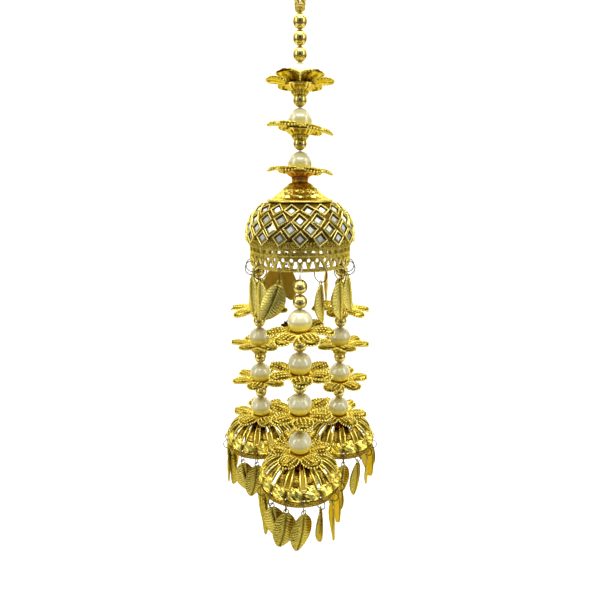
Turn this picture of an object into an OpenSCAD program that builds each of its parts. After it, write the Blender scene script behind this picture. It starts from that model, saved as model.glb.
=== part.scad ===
// Hanging wedding ornament: a corded loop, a short strand of beads and flower cups,
// a stone-set bell with a pierced band, and three long strands that end in open cages.
// +Z is up, the front looks along -Y, and the origin is the inside top of the hanging loop.
// Azimuths are measured from the front, turning towards +X.

/* [Loop] */
// Diameter of the braided cord of the hanging loop
cord_d = 2.2; // [2:0.1:2.3]
// Radius of the sewn knot that closes the loop
knot_r = 2.2; // [2:0.1:2.4]

/* [Beads] */
// Diameter of every pearl
pearl_d = 10; // [9.6:0.1:10.2]
// Diameter of the gold beads above the bell
top_bead_d = 5.6; // [5.4:0.1:5.9]
// Diameter of the gold beads on the three long strands
bead_d = 5.9; // [5.6:0.1:6.1]
// Radius of the hole through beads, pearls and flowers
bore_r = 0.6; // [0.55:0.05:0.8]
// Radius of the thread that runs through them
thread_r = 0.35; // [0.3:0.05:0.4]
// Running gap between neighbours on a thread
gap = 0.12; // [0.1:0.01:0.15]
// Height of the first bead's middle
first_bead_z = -27.1; // [-28:0.1:-27]

/* [Flowers] */
// Tip radius of the flowers above the bell
top_flower_r = 13.7; // [12.5:0.1:14]
// Tip radius of the flowers on the long strands
flower_r = 14.1; // [12.5:0.1:14.3]
// Radius of the cup where the petals start
petal_root_r = 4.6; // [4.4:0.1:4.8]
// Thickness of a petal
petal_t = 0.7; // [0.6:0.05:0.8]
// Wall between pearl and bead in the upper flowers
top_seat = 0.4; // [0.4:0.05:0.6]
// Wall between pearl and bead in the strand flowers
seat = 1.74; // [1.5:0.02:1.8]
// Wall under the pearl in the lowest flower of a strand
last_seat = 0.6; // [0.5:0.05:0.8]

/* [Bell] */
// Radius of the middle of the bell's wall arc, from the axis
arc_in = 6.9; // [6.8:0.1:7.1]
// Radius of the bell's wall arc
arc_r = 15.3; // [15.1:0.1:15.5]
// Height of the arc's middle, where the bell is widest
bell_z = -108.5; // [-108.8:0.1:-108.3]
// Wall thickness of the bell
bell_t = 0.8; // [0.7:0.1:0.9]
// Side of a stone's square gold setting
setting_w = 4.2; // [4:0.1:4.2]
// Side of a stone
stone_w = 3; // [2.8:0.1:3.1]
// Stones in each of the four rows
stones_per_row = 18; // [14:1:18]
// Radius of the neck on top of the cap
neck_r = 3.4; // [3:0.1:3.6]
// Radius of the embossed cap's flange
cap_r = 13.8; // [13.4:0.1:14]

/* [Pierced band] */
// Outer radius at the top of the band
band_r_top = 21.5; // [21.4:0.05:21.5]
// Outer radius at the rim of the band
band_r_rim = 21; // [20.8:0.1:21.2]
// Wall thickness of the band
band_t = 0.6; // [0.5:0.1:0.7]
// Holes in each row of the band
band_holes = 39; // [39:3:39]

/* [Strands and cages] */
// Distance of each long strand from the axis
strand_r = 22; // [21.8:0.1:22.2]
// Height of the first bead on a long strand
strand_bead_z = -125.6; // [-126:0.1:-125.4]
// Outer radius of a cage
cage_r = 17.4; // [17:0.1:17.5]
// Wall thickness of a cage
cage_t = 0.8; // [0.7:0.1:0.9]
// Long slots in a cage
cage_slots = 15; // [15:1:15]

/* [Leaf drops] */
// Middle radius of a jump ring on the band
ring_r = 3; // [2.9:0.05:3.1]
// Middle radius of a jump ring on a cage
cage_ring_r = 2.3; // [2.3:0.05:2.4]
// Radius of a jump ring's wire
wire_r = 0.22; // [0.18:0.01:0.24]
// Length of a leaf below its eye
leaf_len = 16.6; // [15:0.1:17]
// Widest place of a leaf
leaf_w = 9.8; // [9:0.1:10]
// Thickness of a leaf
leaf_t = 0.5; // [0.5:0.05:0.6]

/* [Hidden] */
$fn = 48;
eps = 0.01;

gold = "gold";
leaf_gold = "darkkhaki";
pearl_white = "ivory";

// Heights along the axis, from the knot down to the cap
pearl_r = pearl_d / 2;
top_bead_r = top_bead_d / 2;
bead_r = bead_d / 2;
knot_top_z = -21.6;
top_pearl_z = first_bead_z - 2 * (top_bead_d + gap) - top_bead_r - gap - pearl_r;
top_pitch = pearl_d + top_bead_d + top_seat + 3 * gap;
function top_bead_z(i) = i < 3
    ? first_bead_z - i * (top_bead_d + gap)
    : top_pearl_z - (i - 3) * top_pitch - pearl_r - top_seat - 2 * gap - top_bead_r;
function pearl_up_z(i) = top_pearl_z - i * top_pitch;
cap_top_z = pearl_up_z(2) - pearl_r - top_seat - 2 * gap;
bell_top_z = -94.4;
lip_z = -111;

// Heights along a long strand
strand_pearl_z = strand_bead_z - bead_d - 2 * gap - bead_r - pearl_r;
strand_pitch = pearl_d + bead_d + seat + 3 * gap;
function pearl_z(i) = strand_pearl_z - i * strand_pitch;
function bead_z(i) = i < 2
    ? strand_bead_z - i * (bead_d + gap)
    : pearl_z(i - 2) - pearl_r - seat - 2 * gap - bead_r;
cage_z = pearl_z(3) - pearl_r - last_seat - 2 * gap;
strand_az = [0, -120, 120];

// How far the petals lie below the middle of the pearl in their cup
top_petal_drop = 3.2;
petal_drop = 4.4;

// Turn of each flower about its thread, its lean forwards and to the side, and how far its tips rise
// columns: turn, forward, side, lift
TOP_FLOWERS = [[30, -5, 4.5, 2], [30, 4, 6.9, 0.2], [30, 0, 3.9, 0]];
FRONT_FLOWERS = [[22, 2, -4.8, 0.2], [4, 1, 1, 2], [8, 2, -2, 2], [30, 3, -2.5, 2.4]];
LEFT_FLOWERS = [[12, 1, -3, 0.8], [28, -4, 3, 2.2], [50, -1, 2, 2], [20, 2, -2, 2.2]];
RIGHT_FLOWERS = [[40, 2, 3, 0.8], [16, -4, 1, 2.2], [35, 2, -3, 2], [25, 3, 2, 2.2]];

// The hanging loop's route in the plane of its two strands: x, z
CORD_HALF = [
    [-1.15, -21.6], [-1.15, -19.6], [-1.2, -17.4], [-1.6, -15.2], [-2.4, -12.8], [-3.5, -10.4],
    [-4.6, -8], [-5.3, -5.6], [-5.3, -3.2], [-4.5, -1], [-2.6, 0.6]
];

// The four rows of stones: angle up the wall's arc and half steps round
// columns: rise, step
STONE_ROWS = [[4.5, 0], [17.3, 0.5], [30.4, 0], [47.2, 0.5]];
stone_lift = 0.85;

// Band rows: heights of the square holes and of the triangles over the rim
square_top_z = -112.1;
square_h = 1.5;
square_w = 1.75;
tri_top_z = -116.3;
tri_bot_z = -118.9;
tri_w = 2.4;
rim_z = -120.4;
band_top_z = -109.7;

// Leaf drops on the band: hole counted round from the front, turns of the ring and the leaf,
// swing of the leaf to its right-hand side, and the side that its tip bends to
// columns: hole, ring, leaf, swing, bend
BAND_DROPS = [
    [-11, 10, 20, -4, 1], [-9, 10, 18, 4, 1], [-6, 0, -6, -4, -1], [-3, 25, 14, 16, -1],
    [3, 30, 43, 0, 1], [6, -10, 4, 4, 1], [9, -6, -18, -6, 1], [11, -10, -20, 4, -1],
    [16, -25, -53, 0, 1], [-18, -8, -26, 0, -1], [-16, -12, -40, 0, 1]
];

// Turn of each cage about its thread
FRONT_SPIN = 5;
LEFT_SPIN = -4;
RIGHT_SPIN = 4;

// Leaf drops on each cage: slot counted round from the front, then as on the band
// columns: slot, ring, leaf, swing, bend
FRONT_DROPS = [
    [-7, 10, 30, 0, 1], [-5, 8, 34, 0, -1], [-4, 8, 30, 0, 1], [-3, 0, -4, -2, 1],
    [-2, 16, 40, -9, 1], [-1, 12, 22, 2, -1], [0, -4, 24, 3, -1], [1, 20, 44, 0, 1],
    [2, 16, 44, 0, -1], [3, 4, 26, 0, 1], [4, 4, 30, 0, 1], [5, 6, 26, 0, -1], [7, 8, 32, 0, 1]
];
LEFT_DROPS = [
    [-7, 4, 30, 0, 1], [-6, 8, 34, 0, -1], [-5, 8, 30, 0, 1], [-4, 20, 50, 0, 1],
    [-3, 0, -12, 0, 1], [-2, 0, -14, 0, -1], [-1, 14, 38, -5, 1], [0, -4, 20, 3, -1],
    [2, 6, 24, 0, 1], [3, 4, 26, 0, 1], [5, 4, 30, 0, -1], [6, 8, 34, 0, -1], [7, 8, 32, 0, 1]
];
RIGHT_DROPS = [
    [-7, 4, 30, 0, 1], [-6, 8, 34, 0, -1], [-5, 8, 30, 0, 1], [-3, 10, 26, 0, 1],
    [-2, 12, 24, 0, -1], [0, -4, 26, 2, -1], [1, 2, 26, 0, -1], [2, 6, 28, 0, 1],
    [3, 4, 26, 0, 1], [4, 8, 30, 0, 1], [5, 8, 34, 0, -1], [6, 6, 30, 0, -1], [7, 8, 32, 0, 1]
];

// Drop sizes: the ring hangs by its inner edge, and the leaf by the hole in its eye
seat_gap = 0.15;
eye_hole_r = 0.75;
eye_r = 1.25;
leaf_top_z = 0.85 - eye_r;
leaf_bend = 2.4;
function ring_drop(ring) = ring - wire_r - seat_gap;
function eye_drop(ring) = 2 * ring_drop(ring) + eye_hole_r;

// Cage section below its top: the shoulder's arc, the arc that curls in to the rim, and the slots
shoulder_r = 11.4;
curl_r = 2.5;
slot_foot_z = -10.6;
slot_w = 3;
cage_rim_z = -12.8;

function spot(r, az, z) = [r * sin(az), -r * cos(az), z];

module at_strand(az) { translate(spot(strand_r, az, 0)) children(); }

// A closed mesh from rings of points, each ring joined to the next
module loft(rings, closed = false) {
    n = len(rings[0]);
    m = len(rings);
    last = closed ? m - 1 : m - 2;
    sides = [
        for (i = [0 : last]) for (j = [0 : n - 1])
            let (a = i * n + j, b = i * n + (j + 1) % n,
                 c = ((i + 1) % m) * n + (j + 1) % n, d = ((i + 1) % m) * n + j)
            each [[a, b, c], [a, c, d]]
    ];
    ends = closed ? [] : [
        for (j = [1 : n - 2]) [0, j + 1, j],
        for (j = [1 : n - 2]) let (s = (m - 1) * n) [s, s + j, s + j + 1]
    ];
    polyhedron(points = [for (ring = rings) each ring], faces = concat(sides, ends), convexity = 8);
}

module rod(a, b, r) {
    d = b - a;
    l = norm(d);
    translate(a) rotate([0, acos(d[2] / l), atan2(d[1], d[0])]) cylinder(h = l, r = r, $fn = 16);
}

// Loop, knot and thread

cord_path = concat(
    CORD_HALF, [[0, cord_d / 2]],
    [for (i = [len(CORD_HALF) - 1 : -1 : 0]) [-CORD_HALF[i][0], CORD_HALF[i][1]]]
);

module hang_cord() {
    n = len(cord_path);
    last = n - 1;
    rings = [
        for (i = [0 : last])
            let (p = cord_path[i],
                 t = i == 0 || i == last ? [0, i == 0 ? 1 : -1] : cord_path[i + 1] - cord_path[i - 1],
                 u = t / norm(t))
            [for (k = [7 : -1 : 0]) let (a = 45 * k, w = cord_d / 2 * cos(a))
                [p[0] + w * u[1], cord_d / 2 * sin(a), p[1] - w * u[0]]]
    ];
    color(gold) loft(rings);
}

module top_knot() {
    color(gold) difference() {
        translate([0, 0, knot_top_z - 0.15]) sphere(r = knot_r);
        translate([0, 0, knot_top_z + 5]) cube([10, 10, 10], center = true);
    }
}

module main_thread() {
    top = knot_top_z - 0.15 - knot_r - 0.05;
    knot_z = bell_top_z - bell_t - 1.2;
    color("khaki") {
        translate([0, 0, knot_z]) cylinder(h = top - knot_z, r = thread_r);
        translate([0, 0, knot_z]) sphere(r = 1);
    }
}

// Beads, pearls and flowers

module bead(r) {
    difference() {
        sphere(r = r);
        cylinder(h = 3 * r, r = bore_r, center = true);
    }
}

module top_bead(i) { color(gold) translate([0, 0, top_bead_z(i)]) bead(top_bead_r); }

module top_pearl(i) { color(pearl_white) translate([0, 0, pearl_up_z(i)]) bead(pearl_r); }

// Petal outline as shares of the tip radius, from one notch to the next
PETAL = [[-30, 0.5], [-20, 0.78], [-10, 0.94], [0, 1], [10, 0.94], [20, 0.78]];

module petals(tip_r, lift) {
    rise = 0.9;
    rib = 0.3;
    rings = [
        for (p = [0 : 5]) for (s = PETAL)
            let (a = 60 * p + s[0], edge = tip_r * s[1], mid = (petal_root_r + edge) / 2,
                 up = lift * (edge - petal_root_r) / (tip_r - petal_root_r),
                 ridge = abs(s[0]) < 5 ? rib : 0, lip = abs(s[0]) < 25 ? rib : 0)
            [spot(petal_root_r - 0.6, a, petal_t / 2), spot(petal_root_r - 0.6, a, -petal_t / 2),
             spot(mid, a, rise + up / 2 - petal_t / 2), spot(edge, a, up - petal_t / 2 + rise / 2),
             spot(edge, a, up + petal_t / 2 + lip + rise / 2),
             spot(mid, a, rise + up / 2 + petal_t / 2 + ridge)]
    ];
    loft(rings, true);
}

// The flower's own middle is the level of its petals, under the pearl
module flower(tip_r, drop, wall, under_r, pose) {
    foot = drop - pearl_r - gap - wall;
    skirt = under_r > 0 ? 0.9 : 0;
    root = petal_root_r + 0.4;
    translate([0, 0, -drop]) difference() {
        rotate([pose[1], pose[2], pose[0]]) petals(tip_r, pose[3]);
        translate([0, 0, drop]) sphere(r = pearl_r + gap);
    }
    translate([0, 0, -drop]) difference() {
        rotate_extrude()
            polygon([[0, foot - skirt], [3.3, foot - skirt], [3.3, foot], [root, -0.3], [root, 0.5], [0, 0.5]]);
        translate([0, 0, drop]) sphere(r = pearl_r + gap);
        if (under_r > 0) translate([0, 0, foot - gap - under_r]) sphere(r = under_r + gap);
        cylinder(h = 30, r = bore_r, center = true);
    }
}

module top_flower(i) {
    color(gold) translate([0, 0, pearl_up_z(i)])
        flower(top_flower_r, top_petal_drop, top_seat, i < 2 ? top_bead_r : 0, TOP_FLOWERS[i]);
}

// Bell, cap, stones and band

module bell_cap() {
    foot_z = bell_top_z + 0.1;
    color(gold) rotate_extrude() polygon([
        [bore_r, cap_top_z], [neck_r, cap_top_z], [neck_r, cap_top_z - 1.8], [6, cap_top_z - 3.5],
        [10, cap_top_z - 7.2], [cap_r, foot_z + 0.8], [cap_r, foot_z],
        [11, foot_z], [9.4, cap_top_z - 7.6], [5.6, cap_top_z - 4.2], [bore_r, cap_top_z - 2.6]
    ]);
}

module on_bell(row, i) {
    el = STONE_ROWS[row][0];
    az = 360 / stones_per_row * (i + STONE_ROWS[row][1]);
    r = arc_in + arc_r * cos(el);
    translate(spot(r, az, bell_z + arc_r * sin(el))) rotate([0, 0, az]) rotate([90 - el, 0, 0]) children();
}

module each_stone() {
    for (row = [0 : len(STONE_ROWS) - 1]) for (i = [0 : stones_per_row - 1])
        on_bell(row, i) rotate([0, 0, 45]) children();
}

// The bell's wall as a flat section, thinned inwards by t
module bell_half(t) {
    intersection() {
        union() {
            translate([arc_in, bell_z]) circle(r = arc_r - t, $fn = 96);
            translate([0, bell_z - 5]) square([arc_in, arc_r + 5 - t]);
        }
        translate([0, lip_z - (t > 0 ? 1 : 0)]) square([40, bell_top_z - t - lip_z + (t > 0 ? 1 : 0)]);
    }
}

module bell() {
    color("goldenrod") difference() {
        union() {
            rotate_extrude() bell_half(0);
            rotate_extrude() translate([21.75, lip_z + 0.5]) circle(r = 0.45);
            each_stone() translate([-setting_w / 2, -setting_w / 2, -0.5])
                cube([setting_w, setting_w, 0.5 + stone_lift]);
        }
        rotate_extrude() bell_half(bell_t);
        translate([0, 0, lip_z - 1]) cylinder(h = band_top_z + 0.15 - lip_z + 1, r = band_r_top + 0.12);
        each_stone() translate([-stone_w / 2 - 0.1, -stone_w / 2 - 0.1, 0.15])
            cube([stone_w + 0.2, stone_w + 0.2, 2]);
        translate([0, 0, bell_top_z - 5]) cylinder(h = 10, r = bore_r);
    }
}

// A square stone with a table, four crown facets and four girdle facets
module stone() {
    h = stone_w / 2;
    t = 0.3 * stone_w;
    corners = [[-1, -1], [1, -1], [1, 1], [-1, 1]];
    loft([
        [for (c = corners) [c[0] * t, c[1] * t, 0.7]],
        [for (c = corners) [c[0] * h, c[1] * h, 0.45]],
        [for (c = corners) [c[0] * h, c[1] * h, 0.25]]
    ]);
}

module stones() { color("silver") each_stone() stone(); }

module round_band(n, phase) { for (i = [0 : n - 1]) rotate([0, 0, 360 / n * (i + phase)]) children(); }

module pierced_band() {
    cut = 5;
    color(gold) difference() {
        translate([0, 0, rim_z]) cylinder(h = band_top_z - rim_z, r1 = band_r_rim, r2 = band_r_top);
        translate([0, 0, rim_z - eps])
            cylinder(h = band_top_z - rim_z + 2 * eps, r1 = band_r_rim - band_t, r2 = band_r_top - band_t);
        round_band(band_holes, 0.5) translate([-square_w / 2, -band_r_top - 1, square_top_z - square_h])
            cube([square_w, cut, square_h]);
        round_band(band_holes, 0.5) translate([0, -band_r_top - 1 + cut, tri_bot_z]) rotate([90, 0, 0])
            linear_extrude(cut) polygon([
                [-tri_w / 2, 0], [tri_w / 2, 0], [0.45, tri_top_z - tri_bot_z], [-0.45, tri_top_z - tri_bot_z]
            ]);
    }
}

// Leaf drops

// Half width of a leaf at a share of its length
function leaf_half(t) = leaf_w / 2 * pow(sin(180 * pow(t, 0.82)), 0.72);

// One point of the leaf: share of length, place across from -1 to 1, and height off the middle plane
function leaf_point(t, v, h, bend) =
    let (w = leaf_half(t), cup = 1.2 * pow(v * w * 2 / leaf_w, 2), bow = 0.7 * sin(180 * t),
         slant = 1.3 * abs(v) * sin(180 * t))
    [bend * leaf_bend * t * t + v * w, cup - bow - h, leaf_top_z - leaf_len * t - slant];

module leaf(bend) {
    steps = 8;
    first = 0.03;
    last = 0.985;
    h = leaf_t / 2;
    rings = [
        for (i = [0 : steps])
            let (t = first + (last - first) * i / steps, vein = i % 2 == 1 ? 0.25 : 0)
            [leaf_point(t, -1, h, bend), leaf_point(t, -0.5, h + vein, bend), leaf_point(t, 0, h, bend),
             leaf_point(t, 0.5, h + vein, bend), leaf_point(t, 1, h, bend), leaf_point(t, 0.7, -h, bend),
             leaf_point(t, 0, -h, bend), leaf_point(t, -0.7, -h, bend)]
    ];
    loft(rings);
    rotate([90, 0, 0]) difference() {
        cylinder(h = leaf_t, r = eye_r, center = true, $fn = 24);
        cylinder(h = 2, r = eye_hole_r, center = true, $fn = 24);
    }
}

module drop_ring(r, az, seat_z, turn, ring) {
    translate(spot(r, az, seat_z - ring_drop(ring))) rotate([0, 0, az + turn]) rotate([0, 90, 0])
        rotate_extrude($fn = 32) translate([ring, 0]) circle(r = wire_r, $fn = 16);
}

module drop_leaf(r, az, seat_z, pose, ring) {
    translate(spot(r, az, seat_z - eye_drop(ring))) rotate([0, pose[3], az + pose[2]]) leaf(pose[4]);
}

rim_mid_r = band_r_rim - band_t / 2;
function hole_az(hole) = 360 / band_holes * (hole + (hole > 0 ? -0.5 : 0.5));

module band_rings() {
    color(gold) for (d = BAND_DROPS) drop_ring(rim_mid_r, hole_az(d[0]), tri_bot_z, d[1], ring_r);
}

module band_leaves() {
    color(leaf_gold) for (d = BAND_DROPS) drop_leaf(rim_mid_r, hole_az(d[0]), tri_bot_z, d, ring_r);
}

// Long strands

// The thread goes round a post between two triangles of the band, then down through the beads
module thread() {
    v = 1;
    top_z = tri_bot_z + 0.5;
    meet = [0, 0, bead_z(0) + bead_r + 0.6];
    out = band_r_rim + 0.45 - strand_r;
    in = band_r_rim - band_t - 0.45 - strand_r;
    knot_z = cage_z - cage_t - 0.9;
    path = [meet, [v, -out, top_z], [v, -in, top_z], [-v, -in, top_z], [-v, -out, top_z], meet];
    color("khaki") {
        for (i = [0 : 4]) rod(path[i], path[i + 1], 0.2);
        for (i = [1 : 4]) translate(path[i]) sphere(r = 0.26);
        translate([0, 0, knot_z]) cylinder(h = meet[2] - knot_z, r = thread_r);
        translate(meet) sphere(r = 0.5);
        translate([0, 0, knot_z]) sphere(r = 0.8);
    }
}

module beads() { color(gold) for (i = [0 : 4]) translate([0, 0, bead_z(i)]) bead(bead_r); }

module pearls() { color(pearl_white) for (i = [0 : 3]) translate([0, 0, pearl_z(i)]) bead(pearl_r); }

module strand_flower(i, poses) {
    color(gold) translate([0, 0, pearl_z(i)])
        flower(flower_r, petal_drop, i < 3 ? seat : last_seat, i < 3 ? bead_r : 0, poses[i]);
}

// The cage's wall as a flat section, thinned inwards by t
module cage_half(t) {
    curl_in = cage_r - curl_r;
    shoulder_in = cage_r - shoulder_r;
    below = t > 0 ? 1 : 0;
    intersection() {
        union() {
            translate([shoulder_in, -shoulder_r]) circle(r = shoulder_r - t, $fn = 96);
            translate([curl_in, -shoulder_r]) circle(r = curl_r - t, $fn = 48);
            translate([0, -shoulder_r]) square([shoulder_in, shoulder_r - t]);
            translate([0, cage_rim_z - below]) square([curl_in, -cage_rim_z + below - shoulder_r]);
        }
        translate([0, cage_rim_z - below]) square([30, 30]);
    }
}

// One slot: narrow near the thread, with a round foot where the jump ring hangs
module slot() {
    intersection() {
        translate([0, 0, -15]) linear_extrude(20)
            polygon([[-0.5, -5.4], [0.5, -5.4], [slot_w / 2, -11], [slot_w / 2, -20],
                     [-slot_w / 2, -20], [-slot_w / 2, -11]]);
        rotate([90, 0, 0]) linear_extrude(20) union() {
            translate([0, slot_foot_z + slot_w / 2]) circle(r = slot_w / 2 + eps);
            translate([-slot_w, slot_foot_z + slot_w / 2]) square([2 * slot_w, 15]);
        }
    }
}

module cage() {
    color(gold) difference() {
        rotate_extrude() cage_half(0);
        rotate_extrude() cage_half(cage_t);
        round_band(cage_slots, 0) slot();
        cylinder(h = 10, r = bore_r, center = true);
    }
}

cage_mid_r = cage_r - cage_t / 2;
function slot_az(d) = 360 / cage_slots * d[0];

module cage_rings(drops) {
    color(gold) for (d = drops) drop_ring(cage_mid_r, slot_az(d), slot_foot_z, d[1], cage_ring_r);
}

module cage_leaves(drops) {
    color(leaf_gold) for (d = drops) drop_leaf(cage_mid_r, slot_az(d), slot_foot_z, d, cage_ring_r);
}

module at_cage(az, spin) { at_strand(az) translate([0, 0, cage_z]) rotate([0, 0, spin]) children(); }

hang_cord();
top_knot();
main_thread();
top_bead(0);  // top_bead_1
top_bead(1);  // top_bead_2
top_bead(2);  // top_bead_3
top_bead(3);  // top_bead_4
top_bead(4);  // top_bead_5
top_pearl(0);  // top_pearl_1
top_pearl(1);  // top_pearl_2
top_pearl(2);  // top_pearl_3
top_flower(0);  // top_flower_1
top_flower(1);  // top_flower_2
top_flower(2);  // top_flower_3
bell_cap();
bell();
stones();
pierced_band();
band_rings();
band_leaves();
at_strand(0) thread();  // front_thread
at_strand(0) beads();  // front_beads
at_strand(0) pearls();  // front_pearls
at_strand(0) strand_flower(0, FRONT_FLOWERS);  // front_flower_1
at_strand(0) strand_flower(1, FRONT_FLOWERS);  // front_flower_2
at_strand(0) strand_flower(2, FRONT_FLOWERS);  // front_flower_3
at_strand(0) strand_flower(3, FRONT_FLOWERS);  // front_flower_4
at_cage(0, FRONT_SPIN) cage();  // front_cage
at_cage(0, FRONT_SPIN) cage_rings(FRONT_DROPS);  // front_cage_rings
at_cage(0, FRONT_SPIN) cage_leaves(FRONT_DROPS);  // front_cage_leaves
at_strand(-120) rotate([0, 0, -120]) thread();  // left_thread
at_strand(-120) beads();  // left_beads
at_strand(-120) pearls();  // left_pearls
at_strand(-120) strand_flower(0, LEFT_FLOWERS);  // left_flower_1
at_strand(-120) strand_flower(1, LEFT_FLOWERS);  // left_flower_2
at_strand(-120) strand_flower(2, LEFT_FLOWERS);  // left_flower_3
at_strand(-120) strand_flower(3, LEFT_FLOWERS);  // left_flower_4
at_cage(-120, LEFT_SPIN) cage();  // left_cage
at_cage(-120, LEFT_SPIN) cage_rings(LEFT_DROPS);  // left_cage_rings
at_cage(-120, LEFT_SPIN) cage_leaves(LEFT_DROPS);  // left_cage_leaves
at_strand(120) rotate([0, 0, 120]) thread();  // right_thread
at_strand(120) beads();  // right_beads
at_strand(120) pearls();  // right_pearls
at_strand(120) strand_flower(0, RIGHT_FLOWERS);  // right_flower_1
at_strand(120) strand_flower(1, RIGHT_FLOWERS);  // right_flower_2
at_strand(120) strand_flower(2, RIGHT_FLOWERS);  // right_flower_3
at_strand(120) strand_flower(3, RIGHT_FLOWERS);  // right_flower_4
at_cage(120, RIGHT_SPIN) cage();  // right_cage
at_cage(120, RIGHT_SPIN) cage_rings(RIGHT_DROPS);  // right_cage_rings
at_cage(120, RIGHT_SPIN) cage_leaves(RIGHT_DROPS);  // right_cage_leaves
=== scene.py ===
"""Looks of a hanging wedding ornament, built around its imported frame.

Lengths are in millimetres and angles in degrees until a mesh is made.
Azimuths run from the front, -Y, towards +X.
"""

import random
from math import acos, asin, atan2, copysign, cos, degrees, hypot, pi, radians, sin, sqrt

import bmesh
import bpy
import numpy as np
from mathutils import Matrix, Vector
from mathutils.geometry import delaunay_2d_cdt


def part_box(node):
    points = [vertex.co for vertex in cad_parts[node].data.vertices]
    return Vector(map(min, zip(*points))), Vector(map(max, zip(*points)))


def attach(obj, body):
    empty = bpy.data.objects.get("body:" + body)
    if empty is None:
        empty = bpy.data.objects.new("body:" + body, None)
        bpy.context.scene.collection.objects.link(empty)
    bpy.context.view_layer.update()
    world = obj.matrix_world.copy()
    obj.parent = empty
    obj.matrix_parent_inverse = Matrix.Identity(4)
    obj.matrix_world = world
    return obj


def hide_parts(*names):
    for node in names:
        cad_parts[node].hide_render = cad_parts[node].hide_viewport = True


MM = 0.001

# Camera at the photograph's place and angle
CAMERA_AT = (0.0, -196.0, -86.0)
CAMERA_PITCH = 14.5
CAMERA_LENS = 27.6

WORLD_STRENGTH = 0.68
# World light by height, from below to above, and by depth, from the camera's side to behind the paper
WORLD_HEIGHTS = [(0.3, 0.35), (0.5, 0.72), (0.8, 1.0)]
WORLD_DEPTHS = [(0.012, 0.0), (0.03, 0.7), (0.3, 0.8), (0.55, 1.0), (0.7, 0.3)]

# Soft lights: name, place, what it points at, size, power
LIGHTS = [
    ("top_light", (0, -60, 440), (0, 0, -120), (560, 420), 1.75),
    ("front_light", (0, -360, 340), (0, 0, -150), (380, 190), 0.62),
    ("left_light", (-330, -160, 20), (0, 0, -130), (120, 380), 0.34),
    ("right_light", (330, -160, 20), (0, 0, -130), (120, 380), 0.34),
    ("left_glint", (-140, -240, 240), (0, 0, -130), (50, 50), 0.16),
    ("right_glint", (170, -210, 210), (0, 0, -130), (50, 50), 0.16),
    ("back_glint", (90, 160, 260), (0, 0, -130), (60, 60), 0.14),
    ("wall_light", (0, 150, 330), (0, 420, -150), (900, 200), 2.6),
    ("floor_light", (0, 130, -10), (0, 60, -300), (700, 220), 0.25),
]

# Paper backdrop: a floor that bends up into a wall
PAPER_Z = -300.0
PAPER_FRONT_Y = -170.0
PAPER_WALL_Y = 420.0
PAPER_HEIGHT = 900.0
PAPER_HALF_WIDTH = 525.0
PAPER_BEND_R = 160.0

# Hanging loop, as in the frame's source: x and z of one half of its route
CORD_HALF = [
    (-1.15, -21.6), (-1.15, -19.6), (-1.2, -17.4), (-1.6, -15.2), (-2.4, -12.8), (-3.5, -10.4),
    (-4.6, -8.0), (-5.3, -5.6), (-5.3, -3.2), (-4.5, -1.0), (-2.6, 0.6),
]
CORD_D = 2.2

# Beads, pearls and flowers
PEARL_R = 5.0
BEAD_R = 2.95
TOP_BEAD_R = 2.8
BORE_R = 0.6
# Room between neighbours on a thread
GAP = 0.12
# Thickness of a cup under its pearl: on a strand, last on a strand, and in the top stack
SEAT = 1.74
LAST_SEAT = 0.6
TOP_SEAT = 0.4
PETAL_ROOT_R = 4.6
# Kinds of flower: reach of the petals, how far they lie below the pearl's middle, their greatest half
# width as a share of the reach, how far their sides droop, and how much darker they are painted, as
# painted shade
TOP_KIND = (13.7, 3.2, 0.325, 0.5, 0.2)
STRAND_KIND = (14.1, 4.4, 0.285, 1.0, 0.0)
CUP_SHADE = 0.3

# Bell: its section is an arc of radius ARC_R about a point at radius ARC_IN and height BELL_Z
ARC_IN = 6.9
ARC_R = 15.3
BELL_Z = -108.5
BELL_TOP_Z = -94.4
LIP_Z = -111.0
BELL_T = 0.8
STONE_SEED = 11
STONES_PER_ROW = 18
# Each row of stones: its angle above the level of the bell's widest part, and its shift in stones
STONE_ROWS = [(4.5, 0.0), (17.3, 0.5), (30.4, 0.0), (47.2, 0.5)]

# Pierced band
BAND_R_TOP = 21.5
BAND_R_RIM = 21.0
BAND_T = 0.6
BAND_TOP_Z = -109.7
SQUARE_TOP_Z = -112.1
SQUARE_H = 1.5
SQUARE_W = 1.75
TRI_TOP_Z = -116.3
TRI_BOT_Z = -118.9
RIM_Z = -120.4
BAND_HOLES = 39

# Long strands, each with its side, azimuth and the turn of its cage, and the cages
STRAND_R = 22.0
STRANDS = [("front", 0.0, 5.0), ("left", -120.0, -4.0), ("right", 120.0, 4.0)]
CAGE_R = 17.4
CAGE_T = 0.8
CAGE_SLOTS = 15
SHOULDER_R = 11.4
CURL_R = 2.5
SLOT_FOOT_Z = -10.6
CAGE_RIM_Z = -12.8

# Leaf drops
BAND_RING_R = 3.0
CAGE_RING_R = 2.3
WIRE_R = 0.22
SEAT_GAP = 0.15
EYE_HOLE_R = 0.75
EYE_R = 1.25
LEAF_LEN = 16.6
LEAF_W = 9.8
LEAF_T = 0.5
LEAF_BEND = 2.4
# Painted light on the leaves: how much brighter those of the band are painted, and how much darker those
# of the cages
BAND_PAINTED_LIGHT = 0.27
CAGE_PAINTED_SHADE = -0.17

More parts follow.
